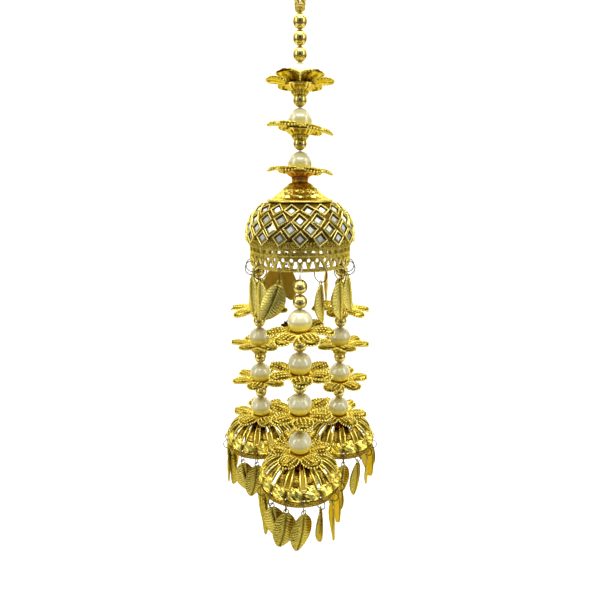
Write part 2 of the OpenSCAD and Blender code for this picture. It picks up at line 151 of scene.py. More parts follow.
# Each leaf drop, as in the frame's source: hole or slot, turns of ring and leaf, swing, bend
BAND_DROPS = [
    (-11, 10, 20, -4, 1), (-9, 10, 18, 4, 1), (-6, 0, -6, -4, -1), (-3, 25, 14, 16, -1), (3, 30, 43, 0, 1),
    (6, -10, 4, 4, 1), (9, -6, -18, -6, 1), (11, -10, -20, 4, -1), (16, -25, -53, 0, 1),
    (-18, -8, -26, 0, -1), (-16, -12, -40, 0, 1),
]
CAGE_DROPS = {
    "front": [
        (-7, 10, 30, 0, 1), (-5, 8, 34, 0, -1), (-4, 8, 30, 0, 1), (-3, 0, -4, -2, 1), (-2, 16, 40, -9, 1),
        (-1, 12, 22, 2, -1), (0, -4, 24, 3, -1), (1, 20, 44, 0, 1), (2, 16, 44, 0, -1), (3, 4, 26, 0, 1),
        (4, 4, 30, 0, 1), (5, 6, 26, 0, -1), (7, 8, 32, 0, 1),
    ],
    "left": [
        (-7, 4, 30, 0, 1), (-6, 8, 34, 0, -1), (-5, 8, 30, 0, 1), (-4, 20, 50, 0, 1), (-3, 0, -12, 0, 1),
        (-2, 0, -14, 0, -1), (-1, 14, 38, -5, 1), (0, -4, 20, 3, -1), (2, 6, 24, 0, 1), (3, 4, 26, 0, 1),
        (5, 4, 30, 0, -1), (6, 8, 34, 0, -1), (7, 8, 32, 0, 1),
    ],
    "right": [
        (-7, 4, 30, 0, 1), (-6, 8, 34, 0, -1), (-5, 8, 30, 0, 1), (-3, 10, 26, 0, 1), (-2, 12, 24, 0, -1),
        (0, -4, 26, 2, -1), (1, 2, 26, 0, -1), (2, 6, 28, 0, 1), (3, 4, 26, 0, 1), (4, 8, 30, 0, 1),
        (5, 8, 34, 0, -1), (6, 6, 30, 0, -1), (7, 8, 32, 0, 1),
    ],
}

# Each flower: turn about its thread, lean forwards and to the side, and how far its tips rise
TOP_FLOWERS = [(30, -5, 4.5, 2), (30, 4, 6.9, 0.2), (30, 0, 3.9, 0)]
FLOWERS = {
    "front": [(22, 2, -4.8, 0.2), (4, 1, 1, 2), (8, 2, -2, 2), (30, 3, -2.5, 2.4)],
    "left": [(12, 1, -3, 0.8), (28, -4, 3, 2.2), (50, -1, 2, 2), (20, 2, -2, 2.2)],
    "right": [(40, 2, 3, 0.8), (16, -4, 1, 2.2), (35, 2, -3, 2), (25, 3, 2, 2.2)],
}

# Petals with a blackened tip: petal number, and the share of its reach where the black starts
TARNISH = {
    "flower_1": {0: 0.96, 5: 0.93},
    "left_bloom_1": {4: 0.9},
    "front_bloom_1": {3: 0.5},
}


# Points and turns

def turn(axis, angle):
    """A rotation matrix about x, y or z."""
    a = radians(angle)
    c, s = cos(a), sin(a)
    i, j = {"x": (1, 2), "y": (2, 0), "z": (0, 1)}[axis]
    m = np.eye(3)
    m[i, i] = m[j, j] = c
    m[i, j], m[j, i] = -s, s
    return m


def around(r, a, z):
    """Points at radius r, angle a in radians and height z, which may all be arrays."""
    return np.stack(np.broadcast_arrays(r * np.sin(a), -r * np.cos(a), z), -1)


def spot(r, az, z=0.0):
    """The point at radius r, azimuth az in degrees and height z."""
    return around(r, radians(az), z)


def full_turn(count):
    """Angles in radians, evenly spread over a turn."""
    return np.arange(count) * 2 * pi / count


def arc(x, y, radius, start, end, count):
    """Pairs of numbers on a circle about (x, y), from one angle in radians to another."""
    return [(x + radius * cos(a), y + radius * sin(a)) for a in np.linspace(start, end, count)]


def put(points, rotation, origin):
    """Points turned and then moved."""
    return np.asarray(points, float).reshape(-1, 3) @ rotation.T + origin


def smoothstep(low, high, x):
    t = np.clip((x - low) / (high - low), 0, 1)
    return t * t * (3 - 2 * t)


def distance_along(path):
    """How far each point of a path lies from its start."""
    steps = np.linalg.norm(np.diff(path, axis=0), axis=1)
    return np.concatenate([[0], np.cumsum(steps)])


def unit_rows(vectors):
    return vectors / np.linalg.norm(vectors, axis=1)[:, None]


# Simple shapes, each as (points, faces)

def grid_faces(rows, cols, wrap_rows=False, wrap_cols=False):
    r = np.arange(rows if wrap_rows else rows - 1)[:, None]
    c = np.arange(cols if wrap_cols else cols - 1)[None, :]
    below, beside = (r + 1) % rows, (c + 1) % cols
    quads = [r * cols + c, r * cols + beside, below * cols + beside, below * cols + c]
    return np.stack(np.broadcast_arrays(*quads), -1).reshape(-1, 4)


def lathe(profile, segments=48, closed=False):
    """A profile of (radius, height) turned about Z."""
    p = np.asarray(profile, float)
    points = around(p[:, :1], full_turn(segments), p[:, 1:])
    return points.reshape(-1, 3), grid_faces(len(p), segments, closed, True)


def tube(path, radius, sides=8, closed=False):
    """A round bar along a path, with rings that don't twist. The radius may vary along it."""
    p = np.asarray(path, float)
    t = unit_rows(np.roll(p, -1, 0) - np.roll(p, 1, 0) if closed else np.gradient(p, axis=0))
    r = np.broadcast_to(radius, (len(p),))
    up = np.cross(t[0], (1.0, 0, 0))
    if np.linalg.norm(up) < 0.3:
        up = np.cross(t[0], (0, 1.0, 0))
    a = full_turn(sides)
    rings = []
    for i in range(len(p)):
        up = up - (up @ t[i]) * t[i]
        up /= np.linalg.norm(up)
        side = np.cross(t[i], up)
        rings.append(p[i] + r[i] * (np.outer(np.cos(a), up) + np.outer(np.sin(a), side)))
    faces = [grid_faces(len(p), sides, closed, True)]
    if not closed:
        faces.append(np.arange(sides)[None, ::-1])
        faces.append(np.arange(sides)[None, :] + (len(p) - 1) * sides)
    return np.concatenate(rings), faces


def ball_arrays(bm):
    """The points and triangles of a small ball."""
    bm.verts.index_update()
    points = np.array([v.co for v in bm.verts])
    faces = np.array([[v.index for v in f.verts] for f in bm.faces])
    bm.free()
    return points, faces


def icosa_ball():
    """A ball of 20 triangles."""
    bm = bmesh.new()
    bmesh.ops.create_icosphere(bm, subdivisions=1, radius=1.0)
    return ball_arrays(bm)


def octa_ball():
    """A ball of 32 triangles that started as an octahedron."""
    bm = bmesh.new()
    belt = [bm.verts.new(p) for p in ((1, 0, 0), (0, 1, 0), (-1, 0, 0), (0, -1, 0))]
    top, bottom = bm.verts.new((0, 0, 1)), bm.verts.new((0, 0, -1))
    for i in range(4):
        bm.faces.new((belt[i], belt[(i + 1) % 4], top))
        bm.faces.new((belt[(i + 1) % 4], belt[i], bottom))
    bmesh.ops.subdivide_edges(bm, edges=bm.edges, cuts=1, use_grid_fill=True)
    bmesh.ops.triangulate(bm, faces=bm.faces)
    for v in bm.verts:
        v.co.normalize()
    return ball_arrays(bm)


GRAIN = icosa_ball()
ROUND_GRAIN = octa_ball()


def grains(centres, radii, ball=GRAIN):
    """Many small grains at once."""
    centres = np.asarray(centres, float).reshape(-1, 3)
    radii = np.broadcast_to(radii, (len(centres),))
    points, faces = ball
    all_points = centres[:, None, :] + radii[:, None, None] * points[None]
    offsets = (np.arange(len(centres)) * len(points))[:, None, None]
    return all_points.reshape(-1, 3), (faces[None] + offsets).reshape(-1, 3)


def grain_ring(z, r, size, ball=ROUND_GRAIN, spacing=2.05):
    """A level ring of grains. Their spacing is a share of their radius."""
    count = int(2 * pi * r / (size * spacing))
    return grains([spot(r, 360.0 * k / count, z) for k in range(count)], size, ball)


def new_object(name, data):
    thing = bpy.data.objects.new(name, data)
    scene.collection.objects.link(thing)
    return thing


class Shape:
    """Gathers parts into one mesh. Paint is a part's material number, and shade runs from 0, dark, to 1,
    bright. It carries patina in hollows and wear on high spots, and also painted shade, painted
    highlights and painted reflections."""

    def __init__(self):
        self.points, self.shades = [], []
        self.faces, self.paints, self.smooth = [], [], []
        self.count = 0

    def add(self, points, faces, paint=0, shade=0.6, flat=False):
        points = np.asarray(points, float).reshape(-1, 3)
        for part in faces if isinstance(faces, list) else [faces]:
            self.faces += (part + self.count).tolist()
            self.paints += [paint] * len(part)
            self.smooth += [not flat] * len(part)
        self.points.append(points)
        self.shades.append(np.broadcast_to(shade, (len(points),)))
        self.count += len(points)

    def build(self, name, materials, slot, *nodes):
        mesh = bpy.data.meshes.new(name)
        mesh.from_pydata(np.concatenate(self.points) * MM, [], self.faces)
        mesh.polygons.foreach_set("material_index", self.paints)
        mesh.polygons.foreach_set("use_smooth", self.smooth)
        shade = mesh.attributes.new("shade", "FLOAT", "POINT")
        shade.data.foreach_set("value", np.concatenate(self.shades).astype(np.float32))
        tidy_mesh(mesh)
        for material in materials:
            mesh.materials.append(material)
        piece = new_object(name, mesh)
        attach(piece, "root")
        if nodes:
            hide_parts(*nodes)
        return piece


def tidy_mesh(mesh):
    """Joins doubled points, drops faces with no area and turns the normals outwards."""
    bm = bmesh.new()
    bm.from_mesh(mesh)
    bmesh.ops.remove_doubles(bm, verts=bm.verts, dist=1e-6)
    bmesh.ops.dissolve_degenerate(bm, edges=bm.edges, dist=1e-6)
    bmesh.ops.recalc_face_normals(bm, faces=bm.faces)
    bm.to_mesh(mesh)
    bm.free()


# Materials

# Tint of plated gold seen at a glancing angle
GOLD_EDGE = (0.80, 0.66, 0.30)


class Nodes:
    """Short calls to add nodes to a tree."""

    def __init__(self, tree, where):
        self.tree = tree
        self.where = self.node("TexCoord").outputs[where]

    def plug(self, socket, value):
        """Gives a socket a value, or a link from another node's output."""
        if isinstance(value, bpy.types.NodeSocket):
            self.tree.links.new(value, socket)
        else:
            socket.default_value = value

    def node(self, kind, **inputs):
        node = self.tree.nodes.new("ShaderNode" + kind)
        for key, value in inputs.items():
            self.plug(node.inputs[key.replace("_", " ")], value)
        return node

    def noise(self, scale, detail=3.0, rough=0.55):
        node = self.node("TexNoise", Scale=scale, Detail=detail, Roughness=rough, Vector=self.where)
        return node.outputs["Fac"]

    def math(self, operation, a, b):
        node = self.node("Math")
        node.operation = operation
        self.plug(node.inputs[0], a)
        self.plug(node.inputs[1], b)
        return node.outputs[0]

    def between(self, value, low, high, start=0.0, end=1.0):
        """Runs from low to high while the value runs from start to end."""
        node = self.node("MapRange", Value=value, From_Min=start, From_Max=end, To_Min=low, To_Max=high)
        return node.outputs["Result"]

    def ramp(self, value, *stops):
        node = self.node("ValToRGB", Fac=value)
        while len(node.color_ramp.elements) < len(stops):
            node.color_ramp.elements.new(0.5)
        for element, (place, colour) in zip(node.color_ramp.elements, stops):
            element.position = place
            element.color = (*colour, 1.0)
        return node.outputs["Color"]


class Paint(Nodes):
    """A node material with one Principled shader."""

    def __init__(self, name, **sockets):
        self.material = bpy.data.materials.new(name)
        self.material.use_nodes = True
        self.material.node_tree.nodes.clear()
        super().__init__(self.material.node_tree, "Object")
        self.shader = self.node("BsdfPrincipled", **sockets)
        self.node("OutputMaterial", Surface=self.shader.outputs[0])

    def feed(self, socket, value):
        self.plug(self.shader.inputs[socket], value)

    def shade(self):
        """The shade that the mesh carries."""
        node = self.node("Attribute")
        node.attribute_name = "shade"
        return node.outputs["Fac"]

    def roughness(self, scale, low, high):
        self.feed("Roughness", self.between(self.noise(scale), low, high, 0.3, 0.7))

    def bump(self, height, strength, depth):
        bump = self.node("Bump", Height=height, Strength=strength, Distance=depth * MM)
        self.feed("Normal", bump.outputs["Normal"])


# Gold plate by name: colour at low shade, for patina in hollows and painted shade, at middle shade,
# and at high shade, for worn high spots and painted highlights, roughness, scale of the grain, depth of
# the bump in millimetres, mottling, and tint at a glancing angle
GOLDS = {
    "cord_yarn": ((0.1, 0.06, 0.01), (0.48, 0.36, 0.07), (0.8, 0.66, 0.2), (0.3, 0.45), 2500, 0.1),
    "polished_gold": ((0.56, 0.45, 0.12), (0.66, 0.54, 0.16), (0.86, 0.74, 0.28), (0.14, 0.26), 900, 0.006),
    "petal_gold": (
        (0.06, 0.025, 0.003), (0.55, 0.4, 0.05), (1.0, 0.9, 0.24), (0.12, 0.24), 1500, 0.06, 0.16,
    ),
    "worn_copper": ((0.3, 0.09, 0.012), (0.58, 0.27, 0.05), (0.9, 0.62, 0.16), (0.2, 0.34), 1600, 0.04),
    "dark_red_collar": (
        (0.05, 0.004, 0.004), (0.11, 0.012, 0.01), (0.2, 0.03, 0.02), (0.4, 0.6), 2500, 0.1, 0.1,
        (0.3, 0.1, 0.08),
    ),
    "cage_gold": (
        (0.05, 0.02, 0.003), (0.46, 0.31, 0.035), (1.0, 0.86, 0.18), (0.17, 0.29), 1500, 0.06, 0.16,
    ),
    "cap_gold": ((0.34, 0.12, 0.015), (0.66, 0.5, 0.09), (1.0, 0.92, 0.3), (0.12, 0.24), 1900, 0.06),
    "setting_gold": ((0.12, 0.08, 0.01), (0.5, 0.41, 0.09), (0.88, 0.78, 0.28), (0.15, 0.3), 1600, 0.02),
    "antique_gold": (
        (0.18, 0.11, 0.02), (0.56, 0.43, 0.07), (0.96, 0.82, 0.2), (0.28, 0.42), 1500, 0.16, 0.25,
    ),
    "groove_brown": (
        (0.05, 0.028, 0.006), (0.15, 0.095, 0.017), (0.66, 0.5, 0.12), (0.3, 0.5), 1800, 0.15, 0.25,
    ),
    "leaf_gold": (
        (0.14, 0.1, 0.012), (0.46, 0.36, 0.055), (1.0, 0.86, 0.23), (0.22, 0.36), 1800, 0.2, 0.16,
    ),
    "leaf_back_gold": ((0.24, 0.14, 0.015), (0.52, 0.36, 0.05), (0.88, 0.68, 0.14), (0.28, 0.42), 2000, 0.06),
    "ring_bronze": (
        (0.05, 0.035, 0.01), (0.1, 0.07, 0.02), (0.24, 0.18, 0.06), (0.4, 0.55), 1800, 0.01, 0.1,
        (0.22, 0.16, 0.07),
    ),
}

# How much the mesh's own shade counts, and the range of noise that the mottling is taken from
SHADE_SHARE = 0.8
MOTTLE_BASE = 0.1
MOTTLE_RANGE = (0.36, 0.64)


def gold_paint(name, dark, middle, bright, rough, grain, bump, mottle=0.1, edge=GOLD_EDGE):
    """Gold plate: dark where the mesh's shade is low, from patina in hollows and painted shade, bright
    where it is high, from wear and painted highlights, and mottled all over.
    """
    paint = Paint(name, Metallic=1.0, Specular_Tint=(*edge, 1.0))
    fine = paint.noise(grain)
    mottling = paint.between(fine, MOTTLE_BASE - mottle, MOTTLE_BASE + mottle, *MOTTLE_RANGE)
    shade_and_wear = paint.math("ADD", paint.math("MULTIPLY", paint.shade(), SHADE_SHARE), mottling)
    paint.feed("Base Color", paint.ramp(shade_and_wear, (0.05, dark), (0.5, middle), (0.95, bright)))
    paint.roughness(grain / 6, *rough)
    paint.bump(fine, 0.6, bump)
    return paint.material


# Colours of a pearl from its lowest point up: a painted reflection of the gold cup in the lower part,
# a band of painted shade above it, the pearl's own cream, and a painted dim reflection of the bead above
# at the top
PEARL_STOPS = [
    (0.12, (0.72, 0.44, 0.015)), (0.28, (1.0, 0.76, 0.05)), (0.42, (1.0, 0.88, 0.20)),
    (0.53, (0.74, 0.68, 0.36)), (0.63, (0.90, 0.89, 0.64)), (0.86, (0.88, 0.88, 0.70)),
    (0.98, (0.60, 0.53, 0.24)),
]


def pearl_paint():
    """Lacquered glass pearl: a milky body that lets some light through, under a mirror-like skin."""
    paint = Paint("pearl_lacquer", Metallic=0.0, Coat_Weight=1.0, Coat_Roughness=0.04, Coat_IOR=2.1, IOR=1.5,
                  Coat_Tint=(0.95, 0.90, 0.72, 1.0), Subsurface_Weight=0.6, Subsurface_Scale=0.004,
                  Subsurface_Radius=(1.0, 0.95, 0.75))
    uneven = paint.between(paint.noise(300, 4.0), -0.04, 0.04)
    # The base colour is painted by height: reflections of the cup and the bead, and painted shade
    paint.feed("Base Color", paint.ramp(paint.math("ADD", paint.shade(), uneven), *PEARL_STOPS))
    paint.roughness(900, 0.14, 0.26)
    paint.bump(paint.noise(1800), 0.1, 0.006)
    return paint.material


# Painted reflections on the stones' facets, from the darkest bevel to the palest table
STONE_STOPS = [
    (0.05, (0.06, 0.05, 0.018)), (0.3, (0.28, 0.25, 0.13)), (0.6, (0.58, 0.60, 0.53)),
    (0.95, (0.92, 0.93, 0.88)),
]


def stone_paint():
    """Foiled mirror glass with painted reflections: pale tables inside dark bevels."""
    paint = Paint("mirror_stone", Metallic=0.35, Coat_Weight=0.8, Coat_Roughness=0.02)
    uneven = paint.between(paint.noise(700), -0.1, 0.1)
    paint.feed("Base Color", paint.ramp(paint.math("ADD", paint.shade(), uneven), *STONE_STOPS))
    paint.roughness(1200, 0.08, 0.22)
    return paint.material


def thread_paint():
    paint = Paint("waxed_thread", Roughness=0.5, Sheen_Weight=0.3)
    fibres = paint.ramp(paint.noise(2500), (0.3, (0.55, 0.46, 0.26)), (0.7, (0.86, 0.8, 0.62)))
    paint.feed("Base Color", fibres)
    paint.bump(paint.noise(4000), 0.4, 0.03)
    return paint.material


def floor_paint():
    paint = Paint("studio_paper", Roughness=0.9)
    clouds = paint.ramp(paint.noise(3), (0.2, (0.93, 0.93, 0.92)), (0.8, (0.96, 0.96, 0.955)))
    paint.feed("Base Color", clouds)
    return paint.material


# Stage: camera, light and floor

def make_camera():
    data = bpy.data.cameras.new("camera")
    data.lens = CAMERA_LENS
    data.sensor_width = 36.0
    data.clip_start = 0.005
    data.clip_end = 20.0
    camera = new_object("camera", data)
    camera.location = Vector(CAMERA_AT) * MM
    camera.rotation_euler = (radians(90.0 - CAMERA_PITCH), 0.0, 0.0)
    scene.camera = camera


def soft_light(name, place, aim, size, power):
    data = bpy.data.lights.new(name, "AREA")
    data.shape = "RECTANGLE"
    data.size, data.size_y = size[0] * MM, size[1] * MM
    data.energy = power
    light = new_object(name, data)
    light.location = Vector(place) * MM
    direction = (Vector(aim) - Vector(place)).normalized()
    light.rotation_euler = direction.to_track_quat("-Z", "Y").to_euler()


def studio_world():
    """Bright overhead and at the sides, dimmer below and behind the paper, and dark where the camera is."""
    world = bpy.data.worlds.new("studio")
    world.use_nodes = True
    background = world.node_tree.nodes["Background"]
    nodes = Nodes(world.node_tree, "Generated")
    split = nodes.node("SeparateXYZ", Vector=nodes.where)
    parts = []
    for axis, stops in (("Z", WORLD_HEIGHTS), ("Y", WORLD_DEPTHS)):
        level = nodes.between(split.outputs[axis], 0.0, 1.0, -1.0, 1.0)
        parts.append(nodes.ramp(level, *[(place, (grey, grey, grey)) for place, grey in stops]))
    nodes.plug(background.inputs["Color"], nodes.math("MULTIPLY", *parts))
    background.inputs["Strength"].default_value = WORLD_STRENGTH
    scene.world = world


def make_paper():
    bend = arc(PAPER_WALL_Y - PAPER_BEND_R, PAPER_Z + PAPER_BEND_R, PAPER_BEND_R, -pi / 2, 0, 9)
    profile = [(PAPER_FRONT_Y, PAPER_Z), (0.0, PAPER_Z)] + bend + [(PAPER_WALL_Y, PAPER_Z + PAPER_HEIGHT)]
    points = [Vector((x, y, z)) * MM for y, z in profile for x in (-PAPER_HALF_WIDTH, PAPER_HALF_WIDTH)]
    faces = [(2 * i, 2 * i + 1, 2 * i + 3, 2 * i + 2) for i in range(len(profile) - 1)]
    paper = bpy.data.meshes.new("paper")
    paper.from_pydata(points, [], faces)
    paper.shade_smooth()
    paper.materials.append(floor_paint())
    new_object("paper_floor", paper)


def make_stage():
    studio_world()
    make_paper()
    for light in LIGHTS:
        soft_light(*light)


# Hanging loop and knot

def cord_route():
    """The loop's points, eased by a curve through the given ones."""
    half = [np.array([x, 0.0, z]) for x, z in CORD_HALF]
    points = half + [np.array([0.0, 0.0, CORD_D / 2])]
    points += [p * (-1, 1, 1) for p in reversed(half)]
    route = []
    for i in range(len(points) - 1):
        before = points[max(i - 1, 0)]
        after = points[min(i + 2, len(points) - 1)]
        a, b = points[i], points[i + 1]
        for t in np.linspace(0, 1, 8, endpoint=False):
            m0, m1 = (b - before) / 2, (after - a) / 2
            h = (2 * t**3 - 3 * t**2 + 1, t**3 - 2 * t**2 + t, -2 * t**3 + 3 * t**2, t**3 - t**2)
            route.append(h[0] * a + h[1] * m0 + h[2] * b + h[3] * m1)
    return np.array(route + [points[-1]])


def make_cord(material):
    """Three strands twisted into a cord, along the loop."""
    route = cord_route()
    along = distance_along(route)
    side = np.cross(unit_rows(np.gradient(route, axis=0)), (0.0, 1.0, 0.0))
    pitch, strand_r, offset = 5.0, 0.55, 0.54
    shape = Shape()
    for k in range(3):
        a = 2 * pi * (along / pitch + k / 3)
        strand = route + offset * (np.cos(a)[:, None] * side + np.sin(a)[:, None] * (0.0, 1.0, 0.0))
        shape.add(*tube(strand, strand_r, 10), shade=0.62)
    cord = shape.build("hanging_cord", [material], "cord_gold", "hang_cord")


# The knot: its rounded body as (radius, height), and each wrap of yarn as (radius, height, lean)
KNOT_BODY = [(0.5, -23.9), (1.2, -23.85), (1.7, -23.5), (1.95, -22.9), (1.9, -22.2), (1.4, -21.8)]
KNOT_WRAPS = [(1.72, -22.05, 0.22), (1.8, -22.75, -0.22), (1.5, -23.35, 0.22)]
KNOT_YARN_R = 0.4


def make_knot(material):
    """Wraps of the same yarn round the two ends, over a rounded body."""
    shape = Shape()
    shape.add(*lathe(KNOT_BODY, 32))
    a = full_turn(40)
    for r, z, lean in KNOT_WRAPS:
        shape.add(*tube(around(r, a, z + lean * np.sin(a)), KNOT_YARN_R, 8, True))
    shape.build("knot", [material], "cord_gold", "top_knot")


# Beads and pearls

# The mouths of their holes: where the ball's skin ends, and how deep the bevel goes
MOUTH_R = 1.25 * BORE_R
MOUTH_DEPTH = 0.12


def bored_ball(r, segments, rows):
    """A ball with a hole through it, and a bevel at each mouth."""
    mouth = acos(MOUTH_R / r)
    depth = r * sin(mouth) - MOUTH_DEPTH
    return lathe(arc(0, 0, r, mouth, -mouth, rows) + [(BORE_R, -depth), (BORE_R, depth)], segments, True)


def make_balls(name, node, centres, r, material, slot, segments, rows):
    """Balls whose shade rises from 0 at the bottom to 1 at the top. On the beads this is painted light
    from above; on the pearls it places their painted reflections.
    """
    shape = Shape()
    points, faces = bored_ball(r, segments, rows)
    for centre in centres:
        shape.add(points + centre, faces, shade=0.5 + 0.5 * points[:, 2] / r)
    shape.build(name, [material], slot, node)


def make_beads(name, node, centres, r):
    make_balls(name, node, centres, r, golds["polished_gold"], "gold", 48, 26)


def make_pearls(name, node, centres):
    make_balls(name, node, centres, PEARL_R, pearl, "pearl", 56, 32)


# Flowers

PETAL_ROWS = 18
PETAL_COLS = 13
PETAL_START = PETAL_ROOT_R - 1.1
PETAL_ROOT_HALF = 2.4
# The share of a petal's length where it is widest, and how much of its width the sheet between the
# beaded edges takes
PETAL_WIDEST = 0.58
SHEET_SHARE = 0.92
RIB_R = 0.5
EDGE_GRAIN_R = 0.47
EDGE_SPACING = 2.4
# Rows of grains on a petal: their places across it, largest radius, and spacing as a share of the radius
GRAIN_ROWS = (-0.62, -0.22, 0.22, 0.62)
GRAIN_R = 0.46
GRAIN_SPACING = 2.7
# Where the rows of grains start as a share of the petal's length, and how much later every second one
GRAIN_START = 0.16
GRAIN_STAGGER = 0.045
SHEET_T = 0.5
FURROW_DEPTH = 0.3
FLUTES = 8
FLUTE_DEPTH = 0.06
TARNISH_DEPTH = 1.3
TARNISH_BLUR = 0.05


class Petal:
    """One petal along -Y: rows of grains above, furrows below, and a beaded edge."""

    def __init__(self, tip_r, lift, breadth, droop):
        self.tip_r, self.lift, self.droop = tip_r, lift, droop
        self.widest_half = breadth * tip_r
        self.length = tip_r - EDGE_GRAIN_R - PETAL_START

    def half(self, s):
        """Half width at a share s of the way from the cup to the tip."""
        rise = 0.5 - 0.5 * np.cos(pi * np.clip(s / PETAL_WIDEST, 0, 1))
        fall = np.sqrt(np.clip(1 - ((s - PETAL_WIDEST) / (1 - PETAL_WIDEST)) ** 2, 0, 1)) ** 0.9
        start = PETAL_ROOT_HALF + (self.widest_half - PETAL_ROOT_HALF) * rise
        return np.where(s < PETAL_WIDEST, start, self.widest_half * fall)

    def height(self, s, v):
        """Arched along its length, and its sides, where v is -1 or 1, droop."""
        arch = 0.2 + 0.95 * np.sin(pi * np.clip(s, 0, 1) ** 0.9) + 0.15 * s
        return arch - self.droop * v**2 * (0.3 + s)

    def raised(self, points):
        """The tip rises, and the cup's end stays where it is."""
        share = (-points[:, 1] - PETAL_ROOT_R) / (self.tip_r - PETAL_ROOT_R)
        return points + np.outer(self.lift * np.clip(share, 0, 1.1), (0, 0, 1))

    def sheet(self):
        s = np.linspace(0, 1, PETAL_ROWS)[:, None]
        v = np.linspace(-1, 1, PETAL_COLS)[None, :]
        half = self.half(s) * SHEET_SHARE
        x = v * half
        y = -(PETAL_START + self.length * s)
        z = self.height(s, v)
        furrow = 0.5 + 0.5 * np.cos(v * pi * 3)
        dip = FURROW_DEPTH * furrow * smoothstep(0.0, 0.25, s) * (1 - smoothstep(0.85, 1.0, np.abs(v)))
        levels = (z + 0.2, z + 0.2 - SHEET_T - dip)
        sides = [np.stack(np.broadcast_arrays(x, y, level), -1).reshape(-1, 3) for level in levels]
        rib = np.exp(-((x / RIB_R) ** 2)) * (1 - smoothstep(0.8, 1.0, s))
        # Painted glow near the cup, reflected from the pearl and the other petals; darker towards the sides
        painted_glow = 0.55 * (1 - smoothstep(0.15, 0.5, s))
        above = 0.3 + 0.3 * rib + painted_glow - (0.18 - painted_glow) * smoothstep(0.55, 0.9, np.abs(v))
        below = 0.38 + 0.4 * furrow + 0 * s
        shade = np.concatenate([above.ravel(), below.ravel()])
        return self.raised(np.concatenate(sides)), self.sheet_faces(), shade

    def sheet_faces(self):
        """The upper side, the lower side and the wall between them, which is open at the cup."""
        faces = grid_faces(PETAL_ROWS, PETAL_COLS)
        count = PETAL_ROWS * PETAL_COLS
        starts = np.arange(PETAL_ROWS) * PETAL_COLS
        tip = starts[-1] + np.arange(1, PETAL_COLS)
        outline = np.concatenate([starts, tip, starts[-2::-1] + PETAL_COLS - 1])
        wall = np.stack([outline[:-1], outline[1:], outline[1:] + count, outline[:-1] + count], -1)
        return np.concatenate([faces, faces[:, ::-1] + count, wall])

    def grain_rows(self):
        spots, sizes = [], []
        for row, v in enumerate(GRAIN_ROWS):
            s = GRAIN_START + GRAIN_STAGGER * (row % 2)
            while s < 0.97 - 0.18 * abs(v):
                width = float(self.half(np.array(s)))
                size = min(GRAIN_R, 0.14 * width)
                spots.append((v * width, -(PETAL_START + self.length * s), float(self.height(s, v)) + 0.34))
                sizes.append(size)
                s += GRAIN_SPACING * size / self.length
        return *grains(self.raised(np.array(spots)), np.array(sizes)), 0.95

    def beaded_edge(self):
        s = np.linspace(0.08, 1, 200)
        side = np.stack([self.half(s), -(PETAL_START + self.length * s), self.height(s, 1.0)], -1)
        line = np.concatenate([side, (side * (-1, 1, 1))[::-1][1:]])
        far = distance_along(line)
        at = np.linspace(0, far[-1], int(far[-1] / (EDGE_GRAIN_R * EDGE_SPACING)))
        edge = np.stack([np.interp(at, far, line[:, k]) for k in range(3)], -1)
        return *grains(self.raised(edge), EDGE_GRAIN_R, ROUND_GRAIN), 0.95


def cup_outline(drop, foot, skirt, under_r):
    """The outside of a flower's cup from its hole up to the petals, with a seat for the bead under it."""
    outline = [(BORE_R, foot + 0.1)]
    if under_r:
        seat_r = under_r + GAP
        middle = foot - GAP - under_r
        outline = [(BORE_R, middle + seat_r)]
        outline += arc(0, middle, seat_r, pi / 2 - 0.25, acos(2.6 / seat_r), 5)
    return outline + [
        (3.25, foot - skirt), (3.3, foot), (3.9, foot + 0.3), (5.0, foot + 0.9), (5.9, -drop - 0.4),
        (PETAL_ROOT_R + 1.8, -drop + 0.15), (PETAL_ROOT_R + 1.2, -drop + 0.6),
    ]


def flower_cup(drop, wall, under_r, cup_shade):
    """The fluted cup under a pearl, with three rings of grains."""
    foot = -PEARL_R - GAP - wall
    skirt = 0.9 if under_r else 0.0
    bowl_r = PEARL_R + GAP
    rim = 0.95 - drop
    bowl = arc(0, 0, bowl_r, asin(max(-1.0, rim / bowl_r)), -acos(BORE_R / bowl_r), 8)
    points, faces = lathe(bowl + cup_outline(drop, foot, skirt, under_r), 96, True)
    r = np.linalg.norm(points[:, :2], axis=1)
    flute = np.abs(np.cos(FLUTES * np.arctan2(points[:, 0], points[:, 1])))
    is_side = (r > 3.2) & (points[:, 2] < -drop + 0.1)
    points[:, :2] *= (1 - FLUTE_DEPTH * is_side * (1 - flute))[:, None]
    parts = [(points, faces, np.where(is_side, cup_shade + 0.3 * flute, 0.7))]
    for r, z, size in ((3.15, foot - skirt + 0.25, 0.34), (3.4, foot - 0.1, 0.3), (4.5, -drop - 0.25, 0.36)):
        parts.append((*grain_ring(z, r, size, GRAIN), cup_shade + 0.4))
    return parts


def make_flower(name, node, centre, kind, seat, under_r, pose, materials, cup_shade):
    """Six petals round a cup. The cup takes the last of the materials."""
    tip_r, drop, breadth, droop, painted_shade = kind
    spin, forward, side, lift = pose
    petal = Petal(tip_r, lift, breadth, droop)
    parts = [petal.sheet(), petal.grain_rows(), petal.beaded_edge()]
    black = TARNISH.get(name, {})
    shape = Shape()
    for k in range(6):
        lean = openscad_turn(forward, side, spin) @ turn("z", 60.0 * k)
        for points, faces, shade in parts:
            if k in black:
                reach = np.linalg.norm(points[:, :2], axis=1) / tip_r
                shade = shade - TARNISH_DEPTH * smoothstep(black[k], black[k] + TARNISH_BLUR, reach)
            shape.add(put(points, lean, (0, 0, -drop)) + centre, faces, shade=shade - painted_shade)
    for points, faces, shade in flower_cup(drop, seat, under_r, cup_shade):
        shape.add(points + centre, faces, len(materials) - 1, shade)
    shape.build(name, materials, "gold", node)


def openscad_turn(x, y, z):
    """The turn that the frame's source makes: about X, then Y, then Z."""
    return turn("z", z) @ turn("y", y) @ turn("x", x)


# Bell, cap, stones and band

